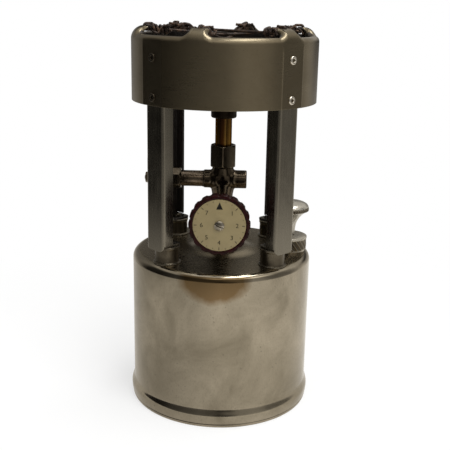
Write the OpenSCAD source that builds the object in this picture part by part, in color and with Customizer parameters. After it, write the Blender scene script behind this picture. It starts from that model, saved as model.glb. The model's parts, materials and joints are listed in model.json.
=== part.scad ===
// Single-burner pocket gasoline stove.
// A round fuel tank carries four channel legs and a burner drum with a wire pot grate.
// The tank's foot stands on z = 0, the hand wheel faces -Y and the pump is on the +X side.

/* [Fuel tank] */
// Outside diameter of the tank wall
tank_d = 102; // [98:0.5:112]
// Height of the flat top plate above the ground
tank_h = 87.5; // [78:0.5:105]
// Sheet thickness of the tank
tank_wall = 1; // [0.8:0.1:1.3]
// Radius of the rounded shoulder
shoulder_r = 4; // [2.5:0.5:4.5]
// How far the rolled foot stands out past the wall
foot_out = 1.5; // [0.8:0.1:2]
// Height at which the wall starts to flare into the foot
foot_h = 12; // [10:0.5:16]
// Height of the foot's widest line
foot_bead_h = 5.5; // [4:0.5:7]
// Rise of the raised middle of the top plate
crown_h = 1.2; // [0.6:0.1:2]
// Radius of the flat part of the raised middle
crown_r = 14; // [12:0.5:16]
// Height of the recessed floor above the ground
floor_h = 9; // [7:0.5:12]

/* [Legs and posts] */
// Width of a channel leg across its web
leg_w = 14; // [12:0.5:15]
// Sheet thickness of a leg
leg_t = 1.2; // [1:0.1:1.5]
// Depth of a leg's flanges, measured from its outer face
leg_flange = 7; // [5:0.5:8]
// Clear height between the tank top and the drum
stand_h = 85.8; // [80:0.2:96]
// How far the web hangs down past the top of its post
leg_skirt = 2; // [1:0.5:4]
// How far a leg reaches up inside the drum
leg_lap = 31; // [28:0.5:32]
// Diameter of a leg post
post_d = 14; // [13:0.5:15]
// Height of a leg post
post_h = 10; // [8:0.5:13]
// Diameter of the cup in the top of a post
post_cup_d = 11; // [9:0.5:11.5]
// Depth of the cup in the top of a post
post_cup_depth = 4; // [2:0.5:5]
// Thread diameter of a leg screw
leg_screw_d = 3; // [2.5:0.1:4]
// Head diameter of a leg screw
leg_screw_head_d = 5.6; // [5:0.1:7]

/* [Burner drum] */
// Outside diameter of the drum
drum_d = 101.6; // [99:0.2:103]
// Sheet thickness of the drum
drum_wall = 1; // [0.8:0.1:1.2]
// Height of the drum wall up to the lips of its cut-outs
drum_h = 35.4; // [34:0.2:40]
// Rise of the lobes above the lips
lobe_rise = 4; // [3.6:0.1:5]
// Width of a lobe
lobe_w = 10; // [9:0.5:12]
// Outer radius of a lobe's inward roll
lobe_roll = 7; // [5:0.5:8]
// Length of the flat tip beyond a lobe's roll
lobe_tip = 2; // [1.5:0.1:3]
// Radius of the corners of the cut-outs
cut_r = 3; // [2:0.5:4]
// Shank diameter of a tubular rivet
rivet_d = 3; // [2.5:0.1:3.4]
// Head diameter of a tubular rivet
rivet_head_d = 4.6; // [4.2:0.1:5.5]
// Height of the lower rivets above the drum's lower edge
rivet_low = 4.3; // [3:0.1:6]
// Distance from the lower to the upper rivets
rivet_pitch = 20; // [16:0.5:22]

/* [Wire grate] */
// Diameter of the grate wire
wire_d = 1.5; // [1.2:0.1:1.7]
// Turns of the winding at each end of a wire
wind_turns = 4; // [2:1:5]
// Distance from one turn of a winding to the next
wind_pitch = 2.2; // [2.2:0.1:2.6]

/* [Burner] */
// Outside diameter of the burner bowl
bowl_d = 46; // [40:0.5:50]
// Height of the bowl from the lower edge of its neck to its rim
bowl_h = 25; // [23:0.5:26]
// Diameter of the neck under the bowl
neck_d = 14.3; // [13:0.1:16]
// How far the neck hangs below the drum
neck_drop = 10; // [8:0.5:14]
// Outside diameter of the mixing tube
tube_d = 9.3; // [8.5:0.1:9.8]
// Wall of the mixing tube
tube_wall = 0.9; // [0.7:0.1:1.2]
// Number of flat and slotted ring pairs in the flame stack
ring_pairs = 3; // [2:1:3]
// Thickness of a flat flame ring
flat_ring_t = 0.7; // [0.5:0.1:0.9]
// Thickness of a slotted flame ring
slot_ring_t = 1.4; // [1:0.1:1.6]
// Thickness of the burner cap
cap_t = 3; // [2:0.5:3.5]

/* [Valve] */
// Height of the valve's cross arms above the raised middle of the tank
valve_rise = 39.7; // [36:0.1:46]
// Diameter of the cross arms
arm_d = 9.7; // [9:0.1:11]
// Reach of the right arm from the axis
arm_right = 13.6; // [11:0.1:16]
// Reach of the left arm from the axis
arm_left = 10.9; // [10:0.1:14]
// Width across flats of the generator nut
gen_nut_af = 13.8; // [13:0.1:16]
// Height of the generator nut
gen_nut_h = 12.6; // [11:0.1:15]
// Width across flats of the lock nut on the tank
lock_nut_af = 16; // [14:0.5:19]
// Height of the lock nut
lock_nut_h = 6; // [4:0.5:7]
// Diameter of the fuel pickup tube
pickup_d = 5; // [4:0.5:6]

/* [Hand wheel] */
// Outside diameter of the hand wheel
wheel_d = 32.8; // [28:0.2:35]
// Thickness of the hand wheel
wheel_t = 7; // [5:0.5:9]
// Distance from the valve axis to the front of the wheel
wheel_reach = 42; // [40:0.5:48]
// Depth of the wheel axis below the cross arms
wheel_drop = 16; // [14:0.5:18]
// Number of flutes round the rim
wheel_flutes = 18; // [14:1:22]
// Diameter of the dial plate
dial_d = 28.6; // [24:0.2:29]
// Thickness of the dial plate
dial_t = 0.6; // [0.4:0.1:1]
// Diameter of the valve stem
stem_d = 4.8; // [4:0.1:5.4]

/* [Tip cleaner] */
// Diameter of the cleaner's tube
cleaner_d = 9.3; // [8:0.1:10]
// Distance from the axis to the end of the cleaner's tube
cleaner_reach = 23.5; // [20:0.5:30]
// Diameter of the cleaner's shaft
cleaner_shaft_d = 3.2; // [2.8:0.1:3.6]
// Distance from the axis to the lever's outer face
lever_reach = 42.5; // [40:0.5:47]
// Length of the lever from its pivot
lever_len = 14; // [11:0.5:18]
// Throw of the crank that lifts the cleaning needle
crank_throw = 1.2; // [0.9:0.1:1.4]

/* [Pump] */
// Distance of the pump axis in from the tank wall
pump_inset = 12; // [11.5:0.5:15]
// Outside diameter of the pump barrel
barrel_d = 16; // [14:0.5:17]
// Wall of the pump barrel
barrel_wall = 0.8; // [0.6:0.1:1.2]
// Outside diameter of the knurled pump cap
pump_cap_d = 20; // [18:0.2:21]
// Height of the knurled pump cap
pump_cap_h = 8; // [6:0.5:10]
// Diameter of the pump knob
knob_d = 21.2; // [18:0.2:22]
// Height of the pump knob
knob_h = 19.5; // [16:0.5:24]
// Diameter of the hollow pump rod
rod_d = 5; // [4.5:0.1:6]
// Stroke of the pump
pump_stroke = 40; // [32:1:42]

/* [Filler] */
// Distance of the filler axis in from the tank wall
filler_inset = 18; // [16:0.5:20]
// Outside diameter of the filler neck
filler_neck_d = 16; // [14:0.5:18]
// Height of the filler neck above the top plate
filler_neck_h = 5; // [4:0.5:7]
// Outside diameter of the filler cap
filler_cap_d = 20; // [19.5:0.2:22]
// Height of the filler cap
filler_cap_h = 9; // [8:0.5:12]

/* [Fits] */
// Radial gap of a seated piece in its hole
seat_gap = 0.05; // [0.02:0.01:0.1]
// Radial gap of a turning or sliding shaft
run_gap = 0.06; // [0.03:0.01:0.1]
// Gap between pieces that move past each other
move_gap = 0.3; // [0.25:0.05:0.5]
// Gap around the grate wire where it passes the lobes
wire_gap = 0.45; // [0.42:0.01:0.6]

/* [Hidden] */
$fn = 96;
eps = 0.01;
slot_w = 0.9;
slot_depth = 0.9;

// Leg angles about the axis, measured from +X
FRONT_LEFT = -135;
FRONT_RIGHT = -45;
REAR_LEFT = 135;
REAR_RIGHT = 45;
LEG_ANGLES = [FRONT_LEFT, FRONT_RIGHT, REAR_LEFT, REAR_RIGHT];
lobe_count = 6;
lobe_first = FRONT_RIGHT;

// Tank
tank_r = tank_d / 2;
foot_r = tank_r + foot_out;
foot_edge = 0.8;
top_z = tank_h + crown_h;
crown_slope = 6;
pan_rim_h = 13;

// Drum and legs
drum_r = drum_d / 2;
drum_z = tank_h + stand_h;
lip_z = drum_z + drum_h;
lobe_top = lip_z + lobe_rise;
flat_margin = 0.4;
flat_a = sqrt(pow(drum_r, 2) - pow(leg_w / 2 + flat_margin, 2));
leg_a = flat_a - drum_wall;
post_r = post_d / 2;
post_gap = 0.3;
post_pitch_r = leg_a - leg_t - post_gap - post_r;
post_top = tank_h + post_h;
post_foot_h = 1;
post_foot_out = 0.6;
leg_top = drum_z + leg_lap;
leg_bend_in = 0.8;
leg_bend_r = leg_t + leg_bend_in;
foot_tab_end = post_pitch_r - post_cup_d / 2;
leg_screw_head_h = 1.8;
leg_screw_bite = 3;
rivet_head_t = 0.8;
rivet_wall = 0.6;
rivet_bore_d = rivet_d - 2 * rivet_wall;
lip_bead_r = 1;
lip_bead_at = leg_a - lip_bead_r / 3;
lobe_tip_r = drum_r - lobe_roll - lobe_tip;
lobe_corner = 1.8;

// Wire grate
wire_r = wire_d / 2;
wire_sides = 6;
turn_rings = 8;
wire_z = lobe_top - drum_wall - wire_gap - wire_r;
hook_z = lobe_top + wire_gap + wire_r;
hook_ease = 0.5;
hook_r = wire_r + wire_gap + hook_ease;
hook_hole_r = wire_r + wire_gap;
hook_edge = 0.3;
hook_at = lobe_tip_r + 2 * wire_gap + hook_hole_r + hook_edge;
wind_ease = 0.1;
wind_r = wire_d + wire_gap + wind_ease;
wind_start = lobe_tip_r - wire_gap - wire_d;
wind_end = wind_start - wind_turns * wind_pitch;
wire_step = wire_d + wire_gap + wind_ease;
run_step = wire_d / 3;
tail_len = 3;

// Valve and burner heights
valve_z = top_z + valve_rise;
wheel_z = valve_z - wheel_drop;
hub_r = 7;
column_d = 11.6;
shank_d = 9;
shank_drop = 6;
spigot_d = 10;
spigot_h = 6.8;
gen_nut_rise = 7.2;
gen_nut_z = valve_z + gen_nut_rise;
nut_chamfer = 1.2;
spigot_top = gen_nut_z + spigot_h;
passage_d = 4.6;
neck_z = drum_z - neck_drop;
tube_lap = 11;
tube_top = neck_z + tube_lap;
bowl_rim = neck_z + bowl_h;
bowl_r = bowl_d / 2;
bowl_t = 1.5;
bowl_lip = 4;
bowl_round = 1.5;
bowl_bore_r = tube_d / 2 + seat_gap;
neck_r = neck_d / 2;
neck_h = 9;
bridge_rise = 6;
bridge_z = tube_top + bridge_rise;
bridge_h = 3;
bridge_w = 5;
ring_w = 10;
ring_in_r = bowl_r - ring_w;
rings_top = bowl_rim + ring_pairs * (flat_ring_t + slot_ring_t);
flame_slots = 24;
cap_bevel = 1.2;
cap_screw_d = 4;
cap_screw_head_d = 8;
cap_screw_head_h = 1.8;

// Jet, needle and cleaner
jet_d = 4.4;
jet_bore_d = 1;
jet_bite = 5;
jet_out = 4;
jet_z = spigot_top - jet_bite;
jet_top = spigot_top + jet_out;
needle_d = 0.8;
crank_pin_d = 1.4;
crank_pin_len = 4;
needle_gap = 0.6;
needle_z = valve_z + crank_pin_d / 2 + needle_gap;
needle_short = 0.8;
needle_top = jet_top - needle_short;
needle_foot_d = 3;
needle_foot_h = 1;
cleaner_clear = 0.8;
cleaner_bore_d = cleaner_shaft_d + 2 * cleaner_clear;
cleaner_nut_af = 10.6;
cleaner_nut_len = 6.6;
cleaner_end = cleaner_reach + cleaner_nut_len;
lever_t = 1.6;
lever_w = 7;
lever_hub_d = 9;
lever_nut_af = 5.5;
lever_nut_t = 1.4;
lever_in = lever_reach - lever_t;
collar_d = 6;
stud_step = 0.5;
stud_out = 0.5;
stud_d = cleaner_shaft_d - 2 * stud_step;
plug_d = 5;
plug_len = 5;
pickup_wall = 0.8;
pickup_gap = 2;
pickup_seat = 2;

// Stem and hand wheel
boss_d = 10;
boss_reach = 16;
packing_d = 8.4;
packing_len = 3;
pack_nut_af = 12;
pack_nut_len = 8;
stem_seat = 2.5;
stem_bore_d = stem_d + 2 * run_gap;
wheel_r = wheel_d / 2;
wheel_back = wheel_reach - wheel_t;
wheel_hub_d = 12;
wheel_hub_len = 5;
dial_recess = 0.9;
dial_face = wheel_reach - dial_recess + dial_t;
stem_short = 2.5;
stem_end = wheel_reach - stem_short;
flute_r = 3;
flute_depth = 0.8;
wheel_screw_d = 2.6;
wheel_screw_head_d = 5.2;
wheel_screw_head_h = 1.6;
wheel_screw_bite = 6;
wheel_screw_spare = 1;
wheel_screw_turn = -20;

// Pump
pump_x = tank_r - pump_inset;
barrel_r = barrel_d / 2;
barrel_in_r = barrel_r - barrel_wall;
barrel_flange_out = 1;
barrel_flange_r = barrel_r + barrel_flange_out;
barrel_flange_h = 1.5;
check_h = 7;
check_plate = 1;
check_bore_d = 2.4;
ball_d = 4;
ball_rest = sqrt(pow(ball_d, 2) - pow(check_bore_d, 2)) / 2 + seat_gap;
cup_h = 7;
cup_t = 1.4;
barrel_gap = 6;
barrel_z = floor_h + tank_wall + barrel_gap;
cup_clear = 6;
cup_z = barrel_z + check_h + cup_clear;
cup_nut_h = 3;
rod_wall = 1;
rod_bore_d = rod_d - 2 * rod_wall;
air_stem_d = rod_bore_d - 2 * run_gap;
pump_cap_z = tank_h + barrel_flange_h;
pump_cap_top = pump_cap_z + pump_cap_h;
pump_cap_skin = 2.5;
pump_cap_round = 0.8;
pump_cap_slope = 1;
pump_spigot_h = pump_cap_h - pump_cap_skin - move_gap;
stop_d = 8;
stop_h = 3;
stop_top = pump_cap_top - pump_cap_skin - pump_stroke - move_gap;
knob_z = pump_cap_top + move_gap;
knob_top = knob_z + knob_h;
knob_stem_out = 0.6;
knob_stem_r = rod_d / 2 + knob_stem_out;
knob_lip = 1;
knob_lip_h = 0.6;
knob_rim_h = 2;
knob_dome_h = 2.6;
knurls = 36;
knurl_r = 0.55;

// Filler
filler_y = tank_r - filler_inset;
filler_neck_r = filler_neck_d / 2;
filler_wall = 2;
filler_bore_r = filler_neck_r - filler_wall;
filler_neck_drop = 3;
filler_top = tank_h + filler_neck_h;
gasket_t = 1.6;
gasket_z = filler_top + seat_gap;
filler_cap_r = filler_cap_d / 2;
filler_cap_z = tank_h + move_gap;
filler_cap_bore_h = gasket_z + gasket_t + seat_gap - filler_cap_z;
filler_screw_d = 4;
filler_screw_head_d = 9;
filler_screw_head_h = 3;

// Points of an arc in a profile plane
function arc(c, r, a0, a1, n = 8) = [for (i = [0 : n]) c + r * [cos(a0 + (a1 - a0) * i / n), sin(a0 + (a1 - a0) * i / n)]];

// Smooth step from 0 to 1
function ease(t) = t * t * (3 - 2 * t);

// Hollow round piece standing on the plane z = 0
module ring(r_out, r_in, h) {
    difference() {
        cylinder(r = r_out, h = h);
        translate([0, 0, -eps]) cylinder(r = r_in, h = h + 2 * eps);
    }
}

// Hexagonal prism standing on the plane z = 0
module hex(af, h) {
    cylinder(d = af / cos(30), h = h, $fn = 6);
}

// Hexagonal bar with its corners turned down at both ends
module chamfered_hex(af, h) {
    corner_r = af / 2 + nut_chamfer;
    intersection() {
        hex(af, h);
        rotate_extrude()
            polygon([
                [0, 0], [af / 2, 0], [corner_r, nut_chamfer],
                [corner_r, h - nut_chamfer], [af / 2, h], [0, h]
            ]);
    }
}

// Round piece with straight grooves cut round its side
module knurled(r, h) {
    difference() {
        cylinder(r = r, h = h);
        for (i = [0 : knurls - 1])
            rotate([0, 0, i * 360 / knurls])
                translate([r + knurl_r / 3, 0, -eps])
                    cylinder(r = knurl_r, h = h + 2 * eps, $fn = 16);
    }
}

// Head of a slotted screw with its slot across the top
module slotted_head(d, h) {
    difference() {
        cylinder(d = d, h = h);
        translate([-d, -slot_w / 2, h - slot_depth]) cube([2 * d, slot_w, slot_depth + eps]);
    }
}

// Turn a piece that stands along +Z so that it points along -Y, -X or +X
module to_front() {
    rotate([90, 0, 0]) children();
}
module to_left() {
    rotate([0, -90, 0]) children();
}
module to_right() {
    rotate([0, 90, 0]) children();
}

// Tank: outer line of the foot and wall at a height, and the closed sheet profile
function wall_out(z) = z >= foot_h ? tank_r
    : tank_r + foot_out * (1 - ease((z - foot_bead_h) / (foot_h - foot_bead_h)));
function foot_line(inset) = concat(
    [for (i = [0 : 6]) [foot_r - foot_edge * pow(1 - i / 6, 2) - inset, foot_bead_h * i / 6]],
    [for (i = [1 : 8]) let (z = foot_bead_h + (foot_h - foot_bead_h) * i / 8) [wall_out(z) - inset, z]]
);
function roof_line(drop) = concat(
    arc([tank_r - shoulder_r, tank_h - shoulder_r], shoulder_r - drop, 0, 90),
    [[crown_r + crown_slope, tank_h - drop], [crown_r, top_z - drop], [0, top_z - drop]]
);
function reversed(list) = [for (i = [len(list) - 1 : -1 : 0]) list[i]];

module tank_shell() {
    color("#b9b2a2")
    difference() {
        rotate_extrude()
            polygon(concat(
                foot_line(0), roof_line(0),
                reversed(roof_line(tank_wall)), reversed(foot_line(tank_wall))
            ));
        translate([0, 0, top_z - shank_drop]) cylinder(d = shank_d + 2 * seat_gap, h = 2 * shank_drop);
        translate([pump_x, 0, tank_h - shank_drop]) cylinder(r = barrel_r + seat_gap, h = 2 * shank_drop);
        translate([0, filler_y, tank_h - shank_drop])
            cylinder(r = filler_neck_r - tank_wall + seat_gap, h = 2 * shank_drop);
    }
}

// Floor pan: its upturned rim fits inside the wall above the flare
module tank_base() {
    pan_r = tank_r - tank_wall - seat_gap;
    color("#8f8a7e")
    translate([0, 0, floor_h])
        difference() {
            cylinder(r = pan_r, h = pan_rim_h);
            translate([0, 0, tank_wall]) cylinder(r = pan_r - tank_wall, h = pan_rim_h);
        }
}

// Leg posts: cup-topped bosses on the tank, tapped for the leg screws
module leg_post(angle) {
    color("#a9a294")
    rotate([0, 0, angle])
        translate([post_pitch_r, 0, tank_h])
            difference() {
                union() {
                    cylinder(r = post_r + post_foot_out, h = post_foot_h);
                    cylinder(r = post_r, h = post_h);
                }
                translate([0, 0, post_h - post_cup_depth]) cylinder(d = post_cup_d, h = post_h);
                translate([0, 0, post_h - post_cup_depth - leg_screw_bite - seat_gap])
                    cylinder(d = leg_screw_d + 2 * seat_gap, h = post_h);
            }
}
module leg_post_fl() leg_post(FRONT_LEFT);
module leg_post_fr() leg_post(FRONT_RIGHT);
module leg_post_rl() leg_post(REAR_LEFT);
module leg_post_rr() leg_post(REAR_RIGHT);

// Round holes through the drum and the web of one leg, where its rivets go
module rivet_holes() {
    for (z = [rivet_low, rivet_low + rivet_pitch])
        translate([leg_a - leg_flange, 0, drum_z + z])
            to_right() cylinder(d = rivet_d + 2 * seat_gap, h = 2 * leg_flange);
}

// Section of a channel leg: web outwards at leg_a, flanges inwards, rounded bends
function channel_side(inset) = concat(
    [[leg_a - leg_flange, leg_w / 2 - inset]],
    reversed(arc([leg_a - leg_bend_r, leg_w / 2 - leg_bend_r], leg_bend_r - inset, 0, 90, 5))
);
function mirrored(list) = [for (p = reversed(list)) [p[0], -p[1]]];
module channel_section() {
    polygon(concat(
        channel_side(0), mirrored(channel_side(0)),
        reversed(mirrored(channel_side(leg_t))), reversed(channel_side(leg_t))
    ));
}

// Channel leg with its web outwards and a foot tab on the post
module leg(angle) {
    color("#a7a39a")
    rotate([0, 0, angle])
        difference() {
            union() {
                translate([0, 0, post_top]) linear_extrude(leg_top - post_top) channel_section();
                translate([0, 0, post_top - leg_skirt])
                    linear_extrude(leg_skirt + eps)
                        intersection() {
                            channel_section();
                            translate([leg_a - leg_t, -leg_w]) square([2 * leg_t, 2 * leg_w]);
                        }
                translate([foot_tab_end, -leg_w / 2 + leg_t, post_top])
                    cube([leg_a - leg_t / 2 - foot_tab_end, leg_w - 2 * leg_t, leg_t]);
            }
            translate([post_pitch_r, 0, post_top - eps])
                cylinder(d = leg_screw_d + 2 * seat_gap, h = leg_t + 2 * eps);
            rivet_holes();
        }
}
module leg_fl() leg(FRONT_LEFT);
module leg_fr() leg(FRONT_RIGHT);
module leg_rl() leg(REAR_LEFT);
module leg_rr() leg(REAR_RIGHT);

module leg_screws() {
    reach = leg_t + post_cup_depth + leg_screw_bite;
    color("#8d887c")
    for (angle = LEG_ANGLES)
        rotate([0, 0, angle])
            translate([post_pitch_r, 0, post_top + leg_t]) {
                slotted_head(leg_screw_head_d, leg_screw_head_h);
                translate([0, 0, -reach]) cylinder(d = leg_screw_d, h = reach + eps);
            }
}

// Drum: solid of revolution under the rolled skin, with a flat at each leg
module drum_form(inset) {
    difference() {
        rotate_extrude()
            polygon(concat(
                [[0, drum_z - inset], [drum_r - inset, drum_z - inset]],
                arc([drum_r - lobe_roll, lobe_top - lobe_roll], lobe_roll - inset, 0, 90),
                [[0, lobe_top - inset]]
            ));
        for (angle = LEG_ANGLES)
            rotate([0, 0, angle])
                translate([flat_a - inset, -drum_r, drum_z - 2 * inset - eps])
                    cube([drum_r, 2 * drum_r, lobe_top]);
    }
}

// Outline of one lobe seen from outside, with hollow fillets at its root
module lobe_outline() {
    half = lobe_w / 2;
    difference() {
        union() {
            translate([-half, 0]) square([lobe_w, lobe_rise - lobe_corner]);
            translate([-half + lobe_corner, 0]) square([lobe_w - 2 * lobe_corner, lobe_rise + eps]);
            for (x = [-half + lobe_corner, half - lobe_corner])
                translate([x, lobe_rise - lobe_corner]) circle(r = lobe_corner, $fn = 48);
            translate([-half - cut_r, -eps]) square([lobe_w + 2 * cut_r, min(cut_r, lobe_rise - lobe_corner)]);
        }
        for (x = [-half - cut_r, half + cut_r])
            translate([x, cut_r]) circle(r = cut_r, $fn = 48);
    }
}

module burner_drum() {
    bar = 2 * drum_r;
    color("#7d766a")
    union() {
        difference() {
            intersection() {
                drum_form(0);
                union() {
                    translate([0, 0, drum_z]) cylinder(r = bar, h = drum_h);
                    for (i = [0 : lobe_count / 2 - 1])
                        rotate([0, 0, lobe_first + i * 360 / lobe_count])
                            translate([-bar, 0, lip_z])
                                rotate([90, 0, 90])
                                    linear_extrude(2 * bar)
                                        lobe_outline();
                }
            }
            drum_form(drum_wall);
            cylinder(r = lobe_tip_r, h = lobe_top + drum_wall);
            for (angle = LEG_ANGLES)
                rotate([0, 0, angle]) rivet_holes();
            for (i = [0 : lobe_count - 1])
                rotate([0, 0, lobe_first + i * 360 / lobe_count])
                    translate([hook_at, 0, lobe_top - 2 * drum_wall])
                        cylinder(r = hook_hole_r, h = 3 * drum_wall);
        }
        translate([0, 0, lip_z - lip_bead_r])
            rotate_extrude()
                translate([lip_bead_at, 0]) circle(r = lip_bead_r, $fn = 32);
    }
}

// Tubular rivets through the drum flats and the leg webs
module drum_rivets() {
    inside = leg_a - leg_t;
    color("#c9c5ba")
    for (angle = LEG_ANGLES, z = [rivet_low, rivet_low + rivet_pitch])
        rotate([0, 0, angle])
            translate([inside - rivet_head_t, 0, drum_z + z])
                to_right()
                    difference() {
                        union() {
                            cylinder(d = rivet_head_d, h = rivet_head_t);
                            cylinder(d = rivet_d, h = flat_a - inside + rivet_head_t + eps);
                            translate([0, 0, flat_a - inside + rivet_head_t])
                                cylinder(d = rivet_head_d, h = rivet_head_t);
                        }
                        translate([0, 0, -eps])
                            cylinder(d = rivet_bore_d, h = flat_a - inside + 2 * rivet_head_t + 2 * eps);
                    }
}

// Grate wires: one end runs out under a lobe, hooks up through its tip and winds back round itself.
// Points are [out from the axis, sideways, up].
function hook_up() = [for (a = [-90 : 30 : 0])
    [hook_at - hook_r + hook_r * cos(a), 0, wire_z + hook_r + hook_r * sin(a)]];
function hook_over() = [for (a = [0 : 30 : 90])
    [hook_at - hook_r + hook_r * cos(a), 0, hook_z - hook_r + hook_r * sin(a)]];
function winding() = [for (i = [0 : wind_turns * turn_rings])
    let (a = 90 - 360 * i / turn_rings,
         spread = wind_r + (hook_z - wire_z - wind_r) * max(0, 1 - 2 * i / turn_rings))
    [wind_start - wind_pitch * i / turn_rings, spread * cos(a), wire_z + spread * sin(a)]];
function tail() = [for (s = [0.5, 1])
    [wind_end - wind_pitch * s / 3, tail_len * s, wire_z + wind_r]];
function wire_end() = concat(hook_up(), hook_over(), winding(), tail());
function wire_path(centre_z) = concat(
    reversed([for (p = wire_end()) [-p[0], -p[1], p[2]]]),
    [[-wind_end, 0, wire_z], [-wire_step * 3, 0, centre_z], [0, 0, centre_z],
     [wire_step * 3, 0, centre_z], [wind_end, 0, wire_z]],
    wire_end()
);
function unit(v) = v / norm(v);
function heading(path, i) = unit(path[min(i + 1, len(path) - 1)] - path[max(i - 1, 0)]);
function square_to(v, t) = unit(v - (v * t) * t);

// One unbroken tube along a path, with a steady side direction carried from ring to ring
module tube_along(path) {
    n = len(path);
    sides = [for (i = 0, s = square_to([0, 1, 0.2], heading(path, 0)); i < n;
                  i = i + 1, s = i < n ? square_to(s, heading(path, i)) : s) s];
    points = [for (i = [0 : n - 1], k = [0 : wire_sides - 1])
        let (t = heading(path, i), a = 360 * k / wire_sides)
        path[i] + wire_r * (cos(a) * sides[i] + sin(a) * cross(t, sides[i]))];
    skin = [for (i = [0 : n - 2], k = [0 : wire_sides - 1])
        let (a = i * wire_sides + k, b = i * wire_sides + (k + 1) % wire_sides)
        each [[a, a + wire_sides, b], [b, a + wire_sides, b + wire_sides]]];
    near_cap = [for (k = [1 : wire_sides - 2]) [0, k, k + 1]];
    last = (n - 1) * wire_sides;
    far_cap = [for (k = [1 : wire_sides - 2]) [last, last + k + 1, last + k]];
    polyhedron(points = points, faces = concat(skin, near_cap, far_cap));
}

// Least clear gap of a wire's end to itself and to its own straight run
function wire_gaps(pts, skip) = [for (i = [0 : len(pts) - 1], j = [i + skip : 1 : len(pts) - 1])
    norm(pts[i] - pts[j]) - wire_d];
run_start = wind_end - tail_len;
run_points = [for (s = [0 : run_step : hook_at - hook_r - run_start]) [run_start + s, 0, wire_z]];
run_gaps = [for (p = concat(winding(), tail()), q = run_points) norm(p - q) - wire_d];
echo(least_wire_gap = min(concat(wire_gaps(winding(), 4), run_gaps)));

module grate_wire(index) {
    color("#2a211c")
    rotate([0, 0, lobe_first + index * 360 / lobe_count])
        tube_along(wire_path(wire_z - index * wire_step));
}
module grate_wire_a() grate_wire(0);
module grate_wire_b() grate_wire(1);
module grate_wire_c() grate_wire(2);

// Burner bowl on its neck, with a bridge that takes the cap screw
bowl_outline = concat(
    [[bowl_bore_r, neck_z]],
    arc([neck_r - bowl_round, neck_z + bowl_round], bowl_round, -90, 0, 5),
    [[neck_r, neck_z + neck_h], [bowl_r - bowl_t, bowl_rim - bowl_lip - bowl_t],
     [bowl_r, bowl_rim - bowl_lip], [bowl_r, bowl_rim]]
);
module burner_bowl() {
    color("#6f6453")
    difference() {
        union() {
            rotate_extrude()
                polygon(concat(bowl_outline, [
                    [bowl_r - bowl_t, bowl_rim], [bowl_r - bowl_t, bowl_rim - bowl_lip],
                    [neck_r - bowl_t / 2, tube_top + bowl_t], [bowl_bore_r, tube_top]
                ]));
            intersection() {
                translate([-bowl_r, -bridge_w / 2, bridge_z]) cube([bowl_d, bridge_w, bridge_h]);
                rotate_extrude() polygon(concat(bowl_outline, [[0, bowl_rim], [0, neck_z]]));
            }
        }
        translate([0, 0, bridge_z - eps])
            cylinder(d = cap_screw_d + 2 * seat_gap, h = bridge_h + 2 * eps);
    }
}

// Flame stack: flat and slotted rings laid on the bowl's rim in turn
module flame_rings_flat() {
    color("#5d5448")
    for (i = [0 : ring_pairs - 1])
        translate([0, 0, bowl_rim + i * (flat_ring_t + slot_ring_t)])
            ring(bowl_r, ring_in_r, flat_ring_t);
}
module flame_rings_slotted() {
    color("#6b5f50")
    for (i = [0 : ring_pairs - 1])
        translate([0, 0, bowl_rim + flat_ring_t + i * (flat_ring_t + slot_ring_t)])
            difference() {
                ring(bowl_r, ring_in_r, slot_ring_t);
                for (k = [0 : flame_slots - 1])
                    rotate([0, 0, k * 360 / flame_slots])
                        translate([ring_in_r - slot_ring_t, -slot_ring_t / 2, slot_ring_t / 2])
                            cube([bowl_r, slot_ring_t, slot_ring_t]);
            }
}

module burner_cap() {
    color("#5a5147")
    rotate_extrude()
        polygon([
            [cap_screw_d / 2 + seat_gap, rings_top], [bowl_r, rings_top],
            [bowl_r, rings_top + cap_t - cap_bevel], [bowl_r - 2 * cap_bevel, rings_top + cap_t],
            [cap_screw_d / 2 + seat_gap, rings_top + cap_t]
        ]);
}

module burner_screw() {
    cap_top = rings_top + cap_t;
    color("#8a7a55") {
        translate([0, 0, bridge_z]) cylinder(d = cap_screw_d, h = cap_top - bridge_z + eps);
        translate([0, 0, cap_top]) slotted_head(cap_screw_head_d, cap_screw_head_h);
    }
}

// Mixing tube from the valve up into the bowl's neck
module mixing_tube() {
    color("#7a5a2c")
    translate([0, 0, spigot_top]) ring(tube_d / 2, tube_d / 2 - tube_wall, tube_top - spigot_top);
}

module generator_nut() {
    color("#7b7466")
    translate([0, 0, gen_nut_z])
        difference() {
            rotate([0, 0, 30]) chamfered_hex(gen_nut_af, gen_nut_h);
            translate([0, 0, -eps]) cylinder(d = spigot_d + 2 * seat_gap, h = spigot_h + eps);
            cylinder(d = tube_d + 2 * seat_gap, h = gen_nut_h + eps);
        }
}

// Jet with its fine bore, screwed into the top of the valve's spigot
module gas_tip() {
    color("#b08d3e")
    translate([0, 0, jet_z]) ring(jet_d / 2, jet_bore_d / 2, jet_top - jet_z);
}

// Needle that the crank pushes up through the jet
module cleaning_needle() {
    color("#9a978f")
    translate([0, 0, needle_z]) {
        cylinder(d = needle_foot_d, h = needle_foot_h);
        cylinder(d = needle_d, h = needle_top - needle_z);
    }
}

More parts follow.
